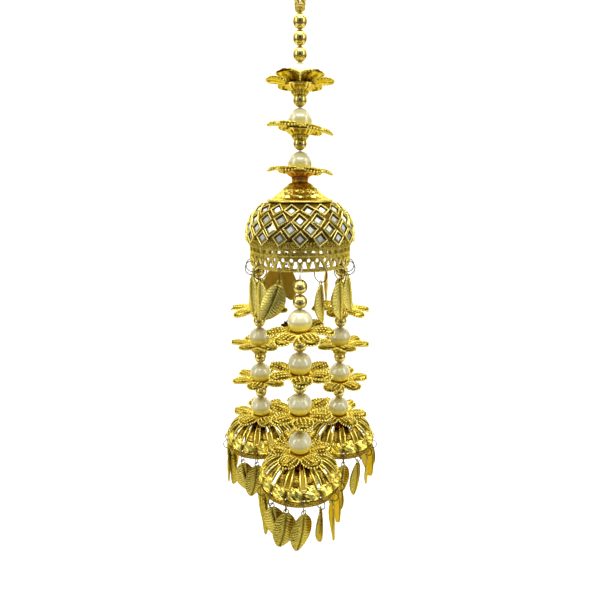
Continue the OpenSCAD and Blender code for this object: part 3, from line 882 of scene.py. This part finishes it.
# The cap's outer section as (radius, height below its top), from its neck to the flange
CAP_SECTION = [
    (1.0, 0), (2.9, 0), (3.3, -0.15), (3.4, -0.5), (3.2, -0.9), (3.4, -1.6), (4.3, -2.3), (6, -3.5),
    (8, -5.15), (10, -7.0), (11.6, -7.95),
]
CAP_INNER = [(12.6, 0), (9.6, 1.6), (1.0, 1.6)]
FLANGE_R = 13.7
SCALE_ROW = 2.4
SCALE_HEIGHT = 0.5
CRINKLE_HEIGHT = 0.22


def finer(section, step):
    """The same section with more points, about a step apart."""
    fine = []
    for (r0, z0), (r1, z1) in zip(section, section[1:]):
        count = max(1, int(hypot(r1 - r0, z1 - z0) / step))
        fine += [(r0 + (r1 - r0) * k / count, z0 + (z1 - z0) * k / count) for k in range(count)]
    return fine + [section[-1]]


def make_cap(material):
    """Stamped cap: rings of twelve raised scales round a short neck, and a beaded flange."""
    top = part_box("bell_cap")[1].z / MM
    flange_top, foot = BELL_TOP_Z + 0.85 - top, BELL_TOP_Z + 0.1 - top
    flange = [(FLANGE_R - 0.4, flange_top + 0.05), (FLANGE_R, flange_top - 0.1)]
    underside = [(FLANGE_R, foot)] + [(r, foot + z) for r, z in CAP_INNER]
    points, faces = lathe(finer(CAP_SECTION + flange, 0.4) + underside, 144, True)
    r = np.linalg.norm(points[:, :2], axis=1)
    a = np.arctan2(points[:, 0], -points[:, 1])
    scale = np.abs(np.cos(6 * a + pi / 2 * (np.floor(r / SCALE_ROW) % 2)))
    row = 0.5 + 0.5 * np.cos(2 * pi * r / SCALE_ROW)
    crinkle = np.random.default_rng(5).uniform(-1, 1, len(points))
    zone = smoothstep(3.0, 4.5, r) * (1 - smoothstep(11.6, 12.6, r)) * (points[:, 2] > foot + 1.7)
    relief = zone * (SCALE_HEIGHT * scale * row + CRINKLE_HEIGHT * crinkle)
    points[:, 2] += relief - 0.25 * zone
    neck = 1 - smoothstep(4.0, 6.4, r)
    shape = Shape()
    shape.add(points + (0, 0, top), faces, shade=0.62 + 1.2 * np.clip(relief, -0.3, 1) - 0.6 * neck)
    for ring_r, z, size in ((13.4, flange_top + 0.05, 0.3), (3.3, -0.95, 0.24)):
        shape.add(*grain_ring(z + top, ring_r, size, spacing=2.1), shade=0.75)
    shape.build("cap", [material], "antique_gold", "bell_cap")


def bell_profile(inset):
    """The bell's section, from the middle of its top down to the lip."""
    r = ARC_R - inset
    start = asin((BELL_TOP_Z - inset * 0.5 - BELL_Z) / r)
    end = asin((LIP_Z - BELL_Z) / r)
    return [(BORE_R, BELL_TOP_Z - inset)] + arc(ARC_IN, BELL_Z, r, start, end, 26)


def square_ring(half, height, corner):
    """A square with rounded corners, in the plane of a stone."""
    ring = []
    middle = (half - corner) * sqrt(2)
    for x, y in arc(0, 0, middle, radians(45), radians(315), 4):
        a = atan2(y, x)
        ring += [(*p, height) for p in arc(x, y, corner, a - radians(40), a + radians(40), 5)]
    return ring


# A setting's section: half width, height and corner radius
SETTING = [(2.28, -0.5, 0.15), (2.28, 0.6, 0.15), (2.25, 0.8, 0.15), (2.14, 0.95, 0.14), (2.0, 1.0, 0.13),
           (1.88, 0.95, 0.12), (1.78, 0.8, 0.1), (1.72, 0.5, 0.1), (1.7, 0.05, 0.1)]
# A stone's half width and height at its foot and at its table
GIRDLE = (1.68, 0.2)
TABLE = (0.95, 0.5)
FACET_SHARE = 0.99
FACET_LIFT = 0.012
GRIT_R = 0.38
GRIT_ROWS = 4
GRIT_PER_ROW = 170
GRIT_ROW_STEP = 0.62


def stone_places(dice):
    """Where each stone sits: its turn, its middle, and how bright it is. All are a little uneven."""
    places = []
    for rise, step in STONE_ROWS:
        for i in range(STONES_PER_ROW):
            rise_here = rise + dice.uniform(-0.35, 0.35)
            az = 360.0 / STONES_PER_ROW * (i + step) + dice.uniform(-0.9, 0.9)
            el = radians(rise_here)
            middle = spot(ARC_IN + ARC_R * cos(el), az, BELL_Z + ARC_R * sin(el))
            lean = turn("z", az) @ turn("x", 90 - rise_here + dice.uniform(-2.5, 2.5))
            lean = lean @ turn("y", dice.uniform(-3, 3))
            places.append((lean @ turn("z", 45 + dice.uniform(-11, 7)), middle, dice.random()))
    return places


def make_bell(dice, places):
    """The shell, its square settings, and four lines of grit under them."""
    shape = Shape()
    profile = bell_profile(0.0) + [(21.7, LIP_Z), (21.65, LIP_Z + 1.4)] + bell_profile(BELL_T)[::-1][4:]
    shape.add(*lathe(profile, 144, True), shade=0.3)
    rings = np.array([square_ring(*row) for row in SETTING])
    faces = grid_faces(len(SETTING), rings.shape[1], False, True)
    # The settings' inner walls round the stones are painted dark, as painted shade in the recess
    wall = (np.abs(rings).max(2).ravel() < 1.8) & (rings[:, :, 2].ravel() < 0.7)
    for lean, middle, tone in places:
        shape.add(put(rings, lean, middle), faces, paint=1, shade=np.where(wall, 0.05, 0.6 + 0.3 * tone))
    grit = []
    for k in range(GRIT_ROWS):
        z = BELL_Z - 0.35 - GRIT_ROW_STEP * k
        r = ARC_IN + ARC_R * cos(asin((z - BELL_Z) / ARC_R)) - 0.12
        for i in range(GRIT_PER_ROW):
            r_here = r + dice.uniform(-0.12, 0.1)
            az = 360.0 * (i + 0.5 * k) / GRIT_PER_ROW + dice.uniform(-0.5, 0.5)
            grit.append(spot(r_here, az, z + dice.uniform(-0.12, 0.12)))
    shape.add(*grains(grit, GRIT_R), paint=2, shade=0.45)
    materials = [golds["groove_brown"], golds["setting_gold"], golds["antique_gold"]]
    shape.build("bell_with_settings", materials, "antique_gold", "bell")


def make_stones(dice, places):
    """Square stones with painted reflections. Each facet is laid just over the stone's body, so that it
    keeps a painted shade of its own.
    """
    stones = Shape()
    corners = np.array([(-1, -1), (1, -1), (1, 1), (-1, 1)], float)
    around_body = [[0, 1, 5, 4], [1, 2, 6, 5], [2, 3, 7, 6], [3, 0, 4, 7]]
    body = np.array([[3, 2, 1, 0], [4, 5, 6, 7]] + around_body)
    for lean, middle, tone in places:
        low, high = [np.column_stack([corners * h, np.full(4, z)]) for h, z in (GIRDLE, TABLE)]
        high[:, :2] += (dice.uniform(-0.22, 0.22), dice.uniform(-0.22, 0.22))
        block = np.concatenate([low, high])
        stones.add(put(block, lean, middle), body, shade=0.1, flat=True)
        # Painted reflections: a pale table, brighter on some stones than others, two dark bevels and two mid
        # ones
        facets = [(high, 0.42 + 0.5 * tone)]
        for k in range(4):
            level = dice.uniform(0.0, 0.12) if k in (1, 2) else dice.uniform(0.15, 0.45)
            facets.append((block[around_body[k]], level))
        for facet, level in facets:
            laid = facet.mean(0) + (facet - facet.mean(0)) * FACET_SHARE + (0, 0, FACET_LIFT)
            stones.add(put(laid, lean, middle), np.array([[0, 1, 2, 3]]), shade=level, flat=True)
    stones.build("mirror_stones", [stone_paint()], "stone", "stones")


# The band's round holes lie between the triangles. Its trim is rings of grains: height, how far they
# stand out, and size
ROUND_HOLE_R = 0.72
ROUND_HOLE_Z = -115.75
BAND_TRIM = [(-111.75, 0.0, 0.26), (-114.15, -0.03, 0.3), (-119.25, -0.05, 0.28), (-120.0, -0.05, 0.33)]
BAND_WIRE_R = 0.27


def band_r(z):
    share = (z - RIM_Z) / (BAND_TOP_Z - RIM_Z)
    return BAND_R_RIM + (BAND_R_TOP - BAND_R_RIM) * share


def make_band(material):
    """Pierced band: square holes, a row of round ones, then triangles between crossing wires."""
    pitch = 360.0 / BAND_HOLES
    mm_per_deg = radians(1) * BAND_R_RIM
    width = pitch * mm_per_deg
    middle = width / 2
    left, right = middle - SQUARE_W / 2, middle + SQUARE_W / 2
    low = SQUARE_TOP_Z - SQUARE_H
    square = [(left, low), (right, low), (right, SQUARE_TOP_Z), (left, SQUARE_TOP_Z)]
    triangle = [(middle - 1.22, TRI_BOT_Z), (middle + 1.22, TRI_BOT_Z), (middle + 0.3, TRI_TOP_Z),
                (middle, TRI_TOP_Z + 0.25), (middle - 0.3, TRI_TOP_Z)]
    points, faces = sheet_with_notches(width, RIM_Z + 0.05, BAND_TOP_Z, [square, triangle])
    shape = Shape()
    for k in range(BAND_HOLES):
        a = np.radians((points[:, 0] / mm_per_deg) + pitch * k)
        shape.add(around(band_r(points[:, 1]), a, points[:, 1]), faces, shade=0.5)
    band = shape.build("band", [material], "antique_gold", "pierced_band")
    thicken(band, BAND_T, 0.09)
    band_trim(material, pitch)


def band_trim(material, pitch):
    """Rings of grains, and two bent wires for each triangle."""
    trim = Shape()
    for z, out, size in BAND_TRIM:
        trim.add(*grain_ring(z, band_r(z) + out, size), shade=0.66)
    top = TRI_TOP_Z + 0.25
    for k in range(BAND_HOLES):
        for sign in (-1, 1):
            wire = []
            for t in np.linspace(0, 1, 7):
                az = (k + 0.5) * pitch + sign * (0.12 + 0.5 * t) * pitch * 0.98
                z = top - (top - TRI_BOT_Z) * t
                wire.append(spot(band_r(z) + 0.1 * sin(pi * t), az, z))
            trim.add(*tube(wire, BAND_WIRE_R, 6), shade=0.72)
    trim.build("band_trim", [material], "antique_gold")


def sheet_with_notches(width, low, high, holes):
    """One cell of the band as a flat sheet. The round holes lie on its side edges, so they notch them."""
    eighths = [radians(45.0 * k) for k in range(-2, 3)]
    right_half = [(ROUND_HOLE_R * cos(a), ROUND_HOLE_Z + ROUND_HOLE_R * sin(a) * 1.1) for a in eighths]
    left_half = [(width - x, z) for x, z in reversed(right_half)]
    outline = [(0, low), (width / 2, low), (width, low)]
    outline += left_half + [(width, (high + left_half[-1][1]) / 2), (width, high)]
    outline += [(width / 2, high), (0, high), (0, (high + right_half[-1][1]) / 2)]
    outline += list(reversed(right_half))
    points, edges = [], []
    for ring in [outline] + holes:
        first = len(points)
        points.extend(Vector(p) for p in ring)
        edges.extend((first + i, first + (i + 1) % len(ring)) for i in range(len(ring)))
    found, _, faces, *_ = delaunay_2d_cdt(points, edges, [], 1, 1e-5)

    kept = []
    for f in faces:
        middle = sum((found[i] for i in f), Vector((0, 0))) / len(f)
        if inside(middle, outline) and not any(inside(middle, h) for h in holes):
            kept.append(f)
    return np.array([tuple(p) for p in found]), np.array(kept)


def inside(p, ring):
    """Whether a point lies inside a closed outline, by how often a line from it crosses the outline."""
    hit = False
    for (x0, y0), (x1, y1) in zip(ring, ring[1:] + ring[:1]):
        if (y0 > p[1]) != (y1 > p[1]) and p[0] < (x1 - x0) * (p[1] - y0) / (y1 - y0) + x0:
            hit = not hit
    return hit


def thicken(piece, thickness, bevel):
    """Gives a sheet its thickness, inwards, and rounds its edges where a bevel is given."""
    solid = piece.modifiers.new("thickness", "SOLIDIFY")
    solid.thickness = thickness * MM
    solid.offset = -1.0
    if not bevel:
        return
    edge = piece.modifiers.new("edges", "BEVEL")
    edge.width = bevel * MM
    edge.segments = 2
    edge.limit_method = "ANGLE"
    edge.angle_limit = radians(50)


# Leaf drops

LEAF_ROWS = 49
LEAF_TOP_COLS = 19
LEAF_BACK_COLS = 7
VEIN_PITCH = 1.15
VEIN_HEIGHT = 0.22
GROOVE_DEPTH = 0.28
RIM_HEIGHT = 0.16
SCALLOP_PITCH = 0.85
SCALLOP_DEPTH = 0.028
SIDE_DROP = 1.3
LEAF_CUP = 1.2
LEAF_BOW = 0.42
EYE_LOOP_R = 1.02
EYE_WIRE_R = 0.24


def leaf_shape(bend):
    """A cupped leaf that hangs from its eye, facing -Y: grooved midrib, raised veins, scalloped rim."""
    t = np.linspace(0.03, 0.985, LEAF_ROWS)[:, None]
    front = np.linspace(-1, 1, LEAF_TOP_COLS)[None, :]
    back = np.linspace(0.96, -0.96, LEAF_BACK_COLS)[None, :]
    half = LEAF_W / 2 * np.sin(pi * t**0.82) ** 0.72
    wave = np.cos(2 * pi * t * LEAF_LEN / SCALLOP_PITCH)
    scallop = 1 + SCALLOP_DEPTH * wave

    def surface(v):
        x = bend * LEAF_BEND * t**2 + v * half * scallop
        cup = LEAF_CUP * (v * half * 2 / LEAF_W) ** 2
        bow = LEAF_BOW * np.sin(pi * t)
        z = 0.85 - EYE_R - LEAF_LEN * t - SIDE_DROP * np.abs(v) * np.sin(pi * t)
        return x, cup - bow, z

    x, y, z = surface(front)
    across = np.abs(front) * half
    phase = (LEAF_LEN * t - 0.75 * across + 0.12 * across**2) / VEIN_PITCH
    vein = (0.5 + 0.5 * np.cos(2 * pi * phase)) ** 2.2
    inner = smoothstep(0.25, 0.7, across) * (1 - smoothstep(0.84, 0.93, np.abs(front)))
    groove = np.exp(-((across / 0.33) ** 2)) * smoothstep(0.02, 0.15, t) * (1 - smoothstep(0.93, 1.0, t))
    rim = smoothstep(0.86, 0.93, np.abs(front)) * (0.6 + 0.4 * wave)
    relief = VEIN_HEIGHT * vein * inner - GROOVE_DEPTH * groove + RIM_HEIGHT * rim
    top = np.stack([x + 0 * y, y - LEAF_T / 2 - relief, z + 0 * y], -1)
    bx, by, bz = surface(back)
    rib = 0.12 * np.exp(-((np.abs(back) * half / 0.5) ** 2))
    low = np.stack([bx, by + LEAF_T / 2 + rib, bz], -1)
    points = np.concatenate([top, low], 1)
    cols = LEAF_TOP_COLS + LEAF_BACK_COLS
    skin = grid_faces(LEAF_ROWS, cols, False, True)
    is_back = (skin[:, 0] % cols) >= LEAF_TOP_COLS
    ends = [np.arange(cols)[None, ::-1], np.arange(cols)[None, :] + (LEAF_ROWS - 1) * cols]
    shade = np.concatenate([0.36 + 2.6 * relief, 0.5 + 0 * bx], 1)
    return points.reshape(-1, 3), [skin[~is_back]] + ends, skin[is_back], shade.ravel()


def jump_ring(ring_r):
    """A ring of wire across the Y and Z axes."""
    a = full_turn(36)
    return tube(np.stack([0 * a, ring_r * np.cos(a), ring_r * np.sin(a)], -1), WIRE_R, 6, True)


def eye_of_leaf():
    """A rounded ring that faces -Y round the leaf's eye."""
    a = full_turn(24)
    return tube(np.stack([EYE_LOOP_R * np.sin(a), 0 * a, EYE_LOOP_R * np.cos(a)], -1), EYE_WIRE_R, 8, True)


def make_drops(label, drops, ring_r, r, count, shift, seat_z, origin, spin, leaf_light):
    """The leaves and jump rings of the band or of one cage. Holes are counted both ways from the front,
    and each lies a shift nearer to it than its number says. Leaf light above 0 paints the leaves
    brighter, and below 0 paints them darker, as painted shade."""
    leaves, rings = Shape(), Shape()
    dice = random.Random(label)
    whole = turn("z", spin)
    ring, eye_loop = jump_ring(ring_r), eye_of_leaf()
    ring_drop = ring_r - WIRE_R - SEAT_GAP
    eye_drop = 2 * ring_drop + EYE_HOLE_R
    for hole, ring_turn, leaf_turn, swing, bend in drops:
        az = 360.0 / count * (hole - copysign(shift, hole))
        centre = whole @ spot(r, az, seat_z - ring_drop) + origin
        points, faces = ring
        shade = 0.35 + 0.4 * dice.random()
        rings.add(put(points, whole @ turn("z", az + ring_turn), centre), faces, shade=shade)
        eye = whole @ spot(r, az, seat_z - eye_drop) + origin
        lean = whole @ openscad_turn(0, swing, az + leaf_turn)
        points, front, back, shade = leaf_shape(bend)
        # Painted light for the band's leaves and painted shade for the cages', with a random tone per leaf
        tone = leaf_light + dice.uniform(-0.1, 0.1)
        leaves.add(put(points, lean, eye), front, shade=shade + tone)
        leaves.add(put(points, lean, eye), back, paint=1, shade=shade + tone)
        points, faces = eye_loop
        leaves.add(put(points, lean, eye), faces, shade=0.5 + tone)
    leaf_materials = [golds["leaf_gold"], golds["leaf_back_gold"]]
    leaves.build(f"{label}_leaf_drops", leaf_materials, "leaf_gold", f"{label}_leaves")
    rings.build(f"{label}_jump_rings", [golds["ring_bronze"]], "gold", f"{label}_rings")


# Cages

def cage_section():
    """The cage's outer section as (radius, height), from the thread to the rim, and the arc length."""
    shoulder_in = CAGE_R - SHOULDER_R
    curl_in = CAGE_R - CURL_R
    curl_end = asin((CAGE_RIM_Z + SHOULDER_R) / CURL_R)
    section = [(0.7, 0.0)] + arc(shoulder_in, -SHOULDER_R, SHOULDER_R, pi / 2, 0, 28)
    section = np.array(section + arc(curl_in, -SHOULDER_R, CURL_R, 0, curl_end, 6)[1:])
    return section, distance_along(section)


CAGE_COLS = 7
U_START = 5.2
U_FOOT = 18.4
RING_HOLE_R = 0.6
CAGE_SHEET_T = 0.5
# Webs: how far they sink, and how far their lumps stand out and vary
WEB_DEPTH = 0.85
LUMP_HEIGHT = 0.7
CRUMPLE = 0.38
# Wires: radius at the top and how much it grows downwards, and the room they leave beside a gap
U_WIRE_R = 0.26
U_WIRE_GROWTH = 0.12
U_WIRE_ROOM = 0.12


def slot_half(v, foot):
    """Half width of the gaps at an arc length v: the inside of a U of wire, then the jump ring's hole."""
    narrow, wide = 0.35, 1.0
    half = narrow + (wide - narrow) * np.clip((v - U_START) / 8.0, 0, 1)
    left = np.clip(U_FOOT - v, 0, wide)
    gap = half * np.sqrt(np.clip(1 - (1 - left / wide) ** 2, 0, 1))
    hole = np.sqrt(np.clip(RING_HOLE_R**2 - (v - foot + RING_HOLE_R) ** 2, 0, None))
    return np.where(v < U_START, 0.0, np.where(v < U_FOOT, gap, hole))


def cage_lines():
    """Levels down the cage's section: arc length, radius, height, half slot and outward direction."""
    section, far = cage_section()
    foot = float(np.interp(-SLOT_FOOT_Z, -section[:, 1], far))
    levels = np.concatenate([
        np.linspace(0.0, 4.8, 5), np.linspace(U_START, U_FOOT, 16), np.linspace(U_FOOT + 0.7, foot - 1.3, 3),
        foot - np.array([1.1, 0.9, 0.6, 0.3, 0.05, 0.0]), np.linspace(foot + 0.5, far[-1], 4),
    ])
    r = np.interp(levels, far, section[:, 0])
    z = np.interp(levels, far, section[:, 1])
    slot = slot_half(levels, foot)
    tangent = unit_rows(np.gradient(np.stack([r, z], -1), axis=0))
    return levels, r, z, slot, np.stack([-tangent[:, 1], tangent[:, 0]], -1), foot


def make_cage(side, origin, spin):
    """The webs between the gaps of a half ball: sunken, and low down swollen into crumpled lumps."""
    levels, r, z, slot, outward, foot = cage_lines()
    pitch = 360.0 / CAGE_SLOTS
    dice = np.random.default_rng(len(side))
    shape = Shape()
    share = np.linspace(0, 1, CAGE_COLS)[None, :]
    arch = np.sin(pi * share)
    whole = turn("z", spin)
    rim = smoothstep(foot - 0.2, foot + 0.6, levels)[:, None]
    gap_angle = np.degrees(slot / np.maximum(r, 1))
    for k in range(CAGE_SLOTS):
        az = pitch * k + gap_angle[:, None] + (pitch - 2 * gap_angle)[:, None] * share
        start = U_FOOT - dice.uniform(1.6, 4.0)
        low = smoothstep(start, start + 1.6, levels) * (1 - smoothstep(foot - 1.0, foot + 0.2, levels))
        low = low[:, None]
        crumple = dice.uniform(-CRUMPLE, CRUMPLE, (len(levels), CAGE_COLS)) * arch
        swell = low * (LUMP_HEIGHT * arch**0.6 - 0.25 + crumple)
        hollow = -WEB_DEPTH * arch**0.6 * (1 - low) * smoothstep(1.5, 4.0, levels)[:, None]
        lift = (swell + hollow) * (1 - rim) - 0.15 * rim
        rr, zz = r[:, None] + lift * outward[:, :1], z[:, None] + lift * outward[:, 1:]
        points = around(rr, np.radians(az), zz)
        # Painted shade on the sunken webs, painted highlights on the lumps that vary with the crumple, and a
        # darker rim
        shade = (0.15 + 0.9 * low * (arch**0.5 + crumple)) * (1 - rim) + 0.2 * rim
        faces = grid_faces(len(levels), CAGE_COLS)
        shape.add(put(points, whole, origin), faces, shade=shade.ravel(), flat=True)
    cage = shape.build(f"{side}_cage_shell", [golds["cage_gold"]], "gold", f"{side}_cage")
    thicken(cage, CAGE_SHEET_T, 0.0)
    cage_wires(side, origin, whole)


def cage_wires(side, origin, whole):
    """A U of wire round each gap, two beaded lines on the rim, and a dark collar under the petals."""
    levels, r, z, slot, outward, _ = cage_lines()
    pitch = 360.0 / CAGE_SLOTS
    wires = Shape()
    used = (levels < U_FOOT - 0.05) & (levels > 1.3)
    for k in range(CAGE_SLOTS):
        line, size = [], []
        for sign, order in ((-1, slice(None)), (1, slice(None, None, -1))):
            for v, rr, zz, half in zip(*(x[used][order] for x in (levels, r, z, slot))):
                half = max(half + U_WIRE_ROOM, 0.42 * min(1.0, v / 5.0))
                line.append(spot(rr + 0.1, pitch * k + sign * degrees(half / rr), zz + 0.1))
                size.append(U_WIRE_R + U_WIRE_GROWTH * min(1.0, v / 9.0))
        points, faces = tube(line, np.array(size), 8)
        wires.add(put(points, whole, origin), faces, shade=0.98)
    section, far = cage_section()
    for level, size in ((far[-1] - 0.1, 0.34), (far[-1] - 1.2, 0.3)):
        rr, zz = np.interp(level, far, section[:, 0]), np.interp(level, far, section[:, 1])
        points, faces = grain_ring(zz, rr - 0.1, size)
        wires.add(put(points, whole, origin), faces, shade=0.5)
    points, faces = collar(levels, r, z, outward)
    wires.add(points + origin, faces, 1, 0.5)
    wires.build(f"{side}_cage_wires", [golds["cage_gold"], golds["dark_red_collar"]], "gold")


COLLAR_SIDES = 48
COLLAR_ROWS = 6
COLLAR_START = 4.1
COLLAR_LIFT = 0.42
COLLAR_REACH = 7.2
TONGUE_REACH = 2.3
TONGUE_HALF_ANGLE = 0.36


def collar(levels, r, z, outward):
    """A sheet that lies on the cage's top round the thread, with a tongue that reaches out at the front."""
    a = full_turn(COLLAR_SIDES) - pi
    reach = COLLAR_REACH + TONGUE_REACH * np.exp(-((a / TONGUE_HALF_ANGLE) ** 2))
    share = np.concatenate([np.linspace(0, 1, COLLAR_ROWS), np.linspace(1, 0, COLLAR_ROWS)])[:, None]
    lift = np.repeat((COLLAR_LIFT, 0.0), COLLAR_ROWS)[:, None]
    level = COLLAR_START + (reach - COLLAR_START) * share
    rr, zz, out_r, out_z = (np.interp(level, levels, x) for x in (r, z, outward[:, 0], outward[:, 1]))
    points = around(rr + lift * out_r, a, zz + lift * out_z).reshape(-1, 3)
    return points, grid_faces(2 * COLLAR_ROWS, COLLAR_SIDES, True, True)


# The whole object

def strand_levels(side):
    """Heights of the pearls and of the beads of a strand, from the frame."""
    low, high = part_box(f"{side}_pearls")
    first, last = high.z / MM - PEARL_R, low.z / MM + PEARL_R
    pearls = [first + (last - first) * i / 3 for i in range(4)]
    top_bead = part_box(f"{side}_beads")[1].z / MM - BEAD_R
    beads = [top_bead, top_bead - 2 * BEAD_R - GAP]
    beads += [p - PEARL_R - SEAT - 2 * GAP - BEAD_R for p in pearls[:3]]
    return pearls, beads


def middle_of(node):
    low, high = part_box(node)
    return np.array((low + high) / 2) / MM


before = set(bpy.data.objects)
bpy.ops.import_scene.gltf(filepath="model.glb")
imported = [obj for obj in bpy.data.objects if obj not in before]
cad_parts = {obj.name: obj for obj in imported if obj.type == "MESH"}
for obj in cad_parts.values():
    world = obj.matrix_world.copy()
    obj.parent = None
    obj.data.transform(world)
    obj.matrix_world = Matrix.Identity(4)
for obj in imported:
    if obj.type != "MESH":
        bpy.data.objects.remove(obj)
scene = bpy.context.scene
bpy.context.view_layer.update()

make_camera()
golds = {name: gold_paint(name, *row) for name, row in GOLDS.items()}
petal_only = [golds["petal_gold"]]
pearl = pearl_paint()
thread = thread_paint()

make_cord(golds["cord_yarn"])
make_stage()
make_knot(golds["cord_yarn"])
for i in range(1, 6):
    make_beads(f"gold_bead_{i}", f"top_bead_{i}", [middle_of(f"top_bead_{i}")], TOP_BEAD_R)
for i, pose in enumerate(TOP_FLOWERS, 1):
    centre = middle_of(f"top_pearl_{i}")
    make_pearls(f"pearl_{i}", f"top_pearl_{i}", [centre])
    under_r, petals_and_cup = (TOP_BEAD_R, petal_only) if i < 3 else (0, [*petal_only, golds["worn_copper"]])
    make_flower(f"flower_{i}", f"top_flower_{i}", centre, TOP_KIND, TOP_SEAT, under_r, pose,
                petals_and_cup, CUP_SHADE)
make_cap(golds["cap_gold"])
dice = random.Random(STONE_SEED)
places = stone_places(dice)
make_bell(dice, places)
make_stones(dice, places)
make_band(golds["antique_gold"])
make_drops("band", BAND_DROPS, BAND_RING_R, BAND_R_RIM - BAND_T / 2, BAND_HOLES, 0.5, TRI_BOT_Z,
           np.zeros(3), 0.0, BAND_PAINTED_LIGHT)
for side, az, spin in STRANDS:
    axis = spot(STRAND_R, az)
    pearls, beads = strand_levels(side)
    make_beads(f"{side}_gold_beads", f"{side}_beads", [axis + (0, 0, z) for z in beads], BEAD_R)
    make_pearls(f"{side}_pearl_beads", f"{side}_pearls", [axis + (0, 0, z) for z in pearls])
    for i, (z, pose) in enumerate(zip(pearls, FLOWERS[side]), 1):
        seat, under_r, cup_shade = (SEAT, BEAD_R, CUP_SHADE) if i < 4 else (LAST_SEAT, 0, 0.0)
        make_flower(f"{side}_bloom_{i}", f"{side}_flower_{i}", axis + (0, 0, z), STRAND_KIND, seat,
                    under_r, pose, petal_only, cup_shade)
    cage_top = axis + (0, 0, pearls[3] - PEARL_R - LAST_SEAT - 2 * GAP)
    make_cage(side, cage_top, spin)
    make_drops(f"{side}_cage", CAGE_DROPS[side], CAGE_RING_R, CAGE_R - CAGE_T / 2, CAGE_SLOTS, 0,
               SLOT_FOOT_Z, cage_top, spin, CAGE_PAINTED_SHADE)
for name in ("main_thread", "front_thread", "left_thread", "right_thread"):
    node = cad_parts[name]
    node.data.materials.clear()
    node.data.materials.append(thread)

scene.view_settings.view_transform = "Standard"
